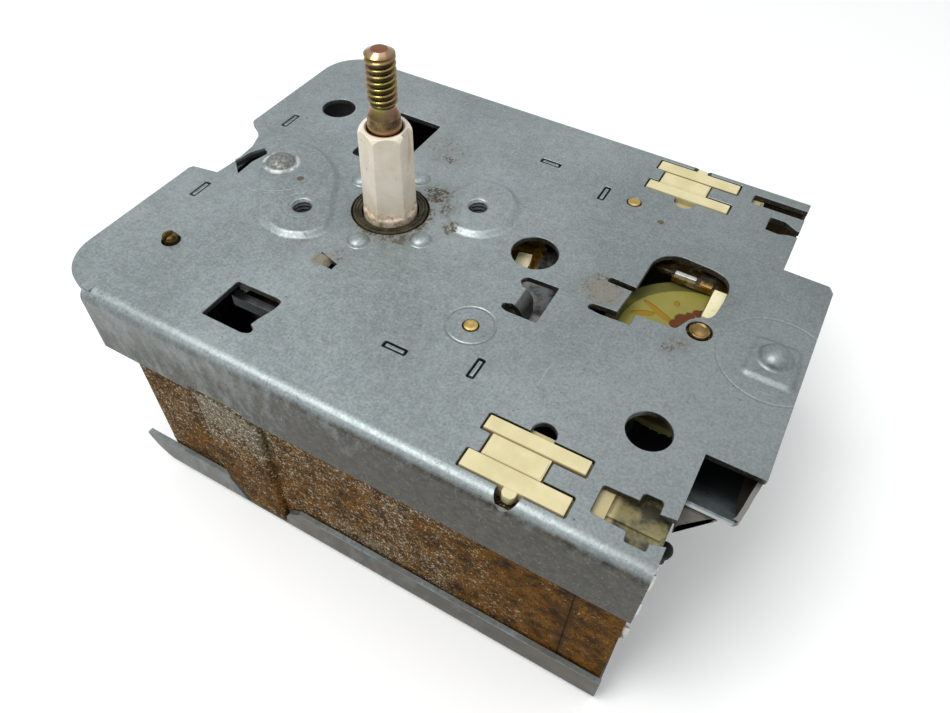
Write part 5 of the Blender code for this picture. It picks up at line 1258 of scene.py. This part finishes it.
def floor():
    mesh = bmesh.new()
    bmesh.ops.create_grid(mesh, x_segments=8, y_segments=8, size=3.0)
    item = raw_object("studio_floor", mesh)
    item.data.materials.append(studio_floor())


def dress_nodes(looks):
    """A material for every CAD node that is still shown."""
    chosen = {
        "end_wall": "inner_steel", "rear_bearing": "brass", "cam_drum": "black", "ratchet_wheel": "ratchet",
        "detent_pawl": "greasy", "drive_pawl": "brass", "drive_lever": "scuffed", "detent_spring": "spring",
        "lever_spring": "spring", "pawl_spring": "spring", "motor_can": "inner_steel", "motor_coil": "coil",
        "motor_cover": "inner_steel", "motor_rotor": "magnet", "idler_gear_1": "black",
        "idler_gear_2": "black",
        "idler_pin_1": "spring", "idler_pin_2": "spring", "line_lever": "inner_steel",
        "line_lever_pin": "spring",
        "line_lever_yoke": "inner_steel", "line_switch_body": "black", "line_plunger": "white",
        "line_terminal_1": "tin", "line_terminal_2": "tin",
    }
    for node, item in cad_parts.items():
        kind = chosen.get(node)
        if kind is None and "cam_arm" in node:
            kind = "bronze"
        if kind is None and ("terminal" in node or "contact" in node):
            kind = "tin"
        if kind is None:
            continue
        item.data.materials.clear()
        item.data.materials.append(looks[kind])


def main():
    looks = {
        "rear": galvanised("rear_galvanised", light=0.85, stains_and_edge_shade=False, grime=0.3, flank_shade=0.4),
        # The two bracket looks paint shade under the plate: 0.6 of the way to black on the corner brackets,
        # nearly black on the left one.
        "bracket": galvanised("bracket_galvanised", light=1.1, stains_and_edge_shade=False, flank_shade=0.15, deep_shade=0.6),
        "shaded_bracket": galvanised("shaded_bracket", light=1.1, stains_and_edge_shade=False, flank_shade=0.15, deep_shade=0.97),
        "pocket": scoop_steel(),
        "inner_steel": galvanised("inner_galvanised", light=0.7, stains_and_edge_shade=False, grime=0.4),
        "greasy": steel("greasy_steel", (0.16, 0.14, 0.1), (0.42, 0.38, 0.3), 0.28, grease=0.75),
        "scuffed": steel("scuffed_steel", (0.05, 0.05, 0.05), (0.42, 0.42, 0.41), 0.3, grease=0.1),
        "bright": steel("bright_steel", (0.5, 0.49, 0.47), (0.8, 0.79, 0.77), 0.22, grease=0.1),
        "spring": steel("spring_steel", (0.12, 0.12, 0.13), (0.3, 0.3, 0.31), 0.3),
        "tin": steel("tinned_steel", (0.42, 0.42, 0.41), (0.66, 0.66, 0.64), 0.3, grease=0.15),
        "bushing": bushing_steel(),
        "sleeve": sleeve_plastic(),
        "stud": stud_plating(),
        "brass": plated("pin_brass", (0.56, 0.37, 0.12), (0.66, 0.47, 0.17), (0.4, 0.25, 0.09), 0.3),
        "worn_brass": plated("worn_brass", (0.1, 0.062, 0.02), (0.2, 0.14, 0.05), (0.04, 0.025, 0.01), 0.5),
        "old_brass": plated("tarnished_brass", (0.2, 0.12, 0.04), (0.33, 0.22, 0.09), (0.1, 0.06, 0.025),
                            0.42),
        "copper": plated("copper_plate", (0.45, 0.24, 0.09), (0.6, 0.37, 0.14), (0.25, 0.12, 0.05), 0.3),
        "bronze": plated("spring_bronze", (0.5, 0.33, 0.16), (0.6, 0.42, 0.24), (0.38, 0.24, 0.12), 0.3),
        "cream": block_plastic(),
        "ratchet": ratchet_look(),
        "stained_cream": plastic("stained_cream", (0.74, 0.68, 0.4), (0.8, 0.75, 0.5), 0.4,
                                 (0.3, 0.13, 0.03), 0.6),
        "white": plastic("white_moulding", (0.72, 0.7, 0.66), (0.82, 0.8, 0.76), 0.45),
        "black": plastic("black_moulding", (0.012, 0.012, 0.013), (0.03, 0.03, 0.032), 0.4),
        "rubber": plastic("stop_rubber", (0.006, 0.006, 0.006), (0.012, 0.012, 0.012), 0.6, specular=0.15),
        "magnet": plastic("ferrite", (0.04, 0.04, 0.042), (0.07, 0.07, 0.072), 0.55),
        "cam": cam_plastic(),
        "coil": copper_wire(),
    }
    camera()
    world_and_lights()
    floor()
    case_pieces(galvanised("plate_galvanised"), rusted(), looks)
    shaft_pieces(looks)
    fittings(looks)
    piece("front_block_moulding", switch_block(-1, (-15.0, -25.0, -35.0)), "case", looks["cream"],
          ["front_switch_block"])
    piece("back_block_moulding", switch_block(1, (-15.0, -35.0)), "case", looks["cream"],
          ["back_switch_block"])
    piece("snail_cam_moulding", snail_cam(), "timing_cam", looks["cam"], ["snail_cam"])
    cam_fittings(looks)
    bracket_pieces(looks)
    dress_nodes(looks)


bpy.context.scene.view_settings.view_transform = "Standard"
main()
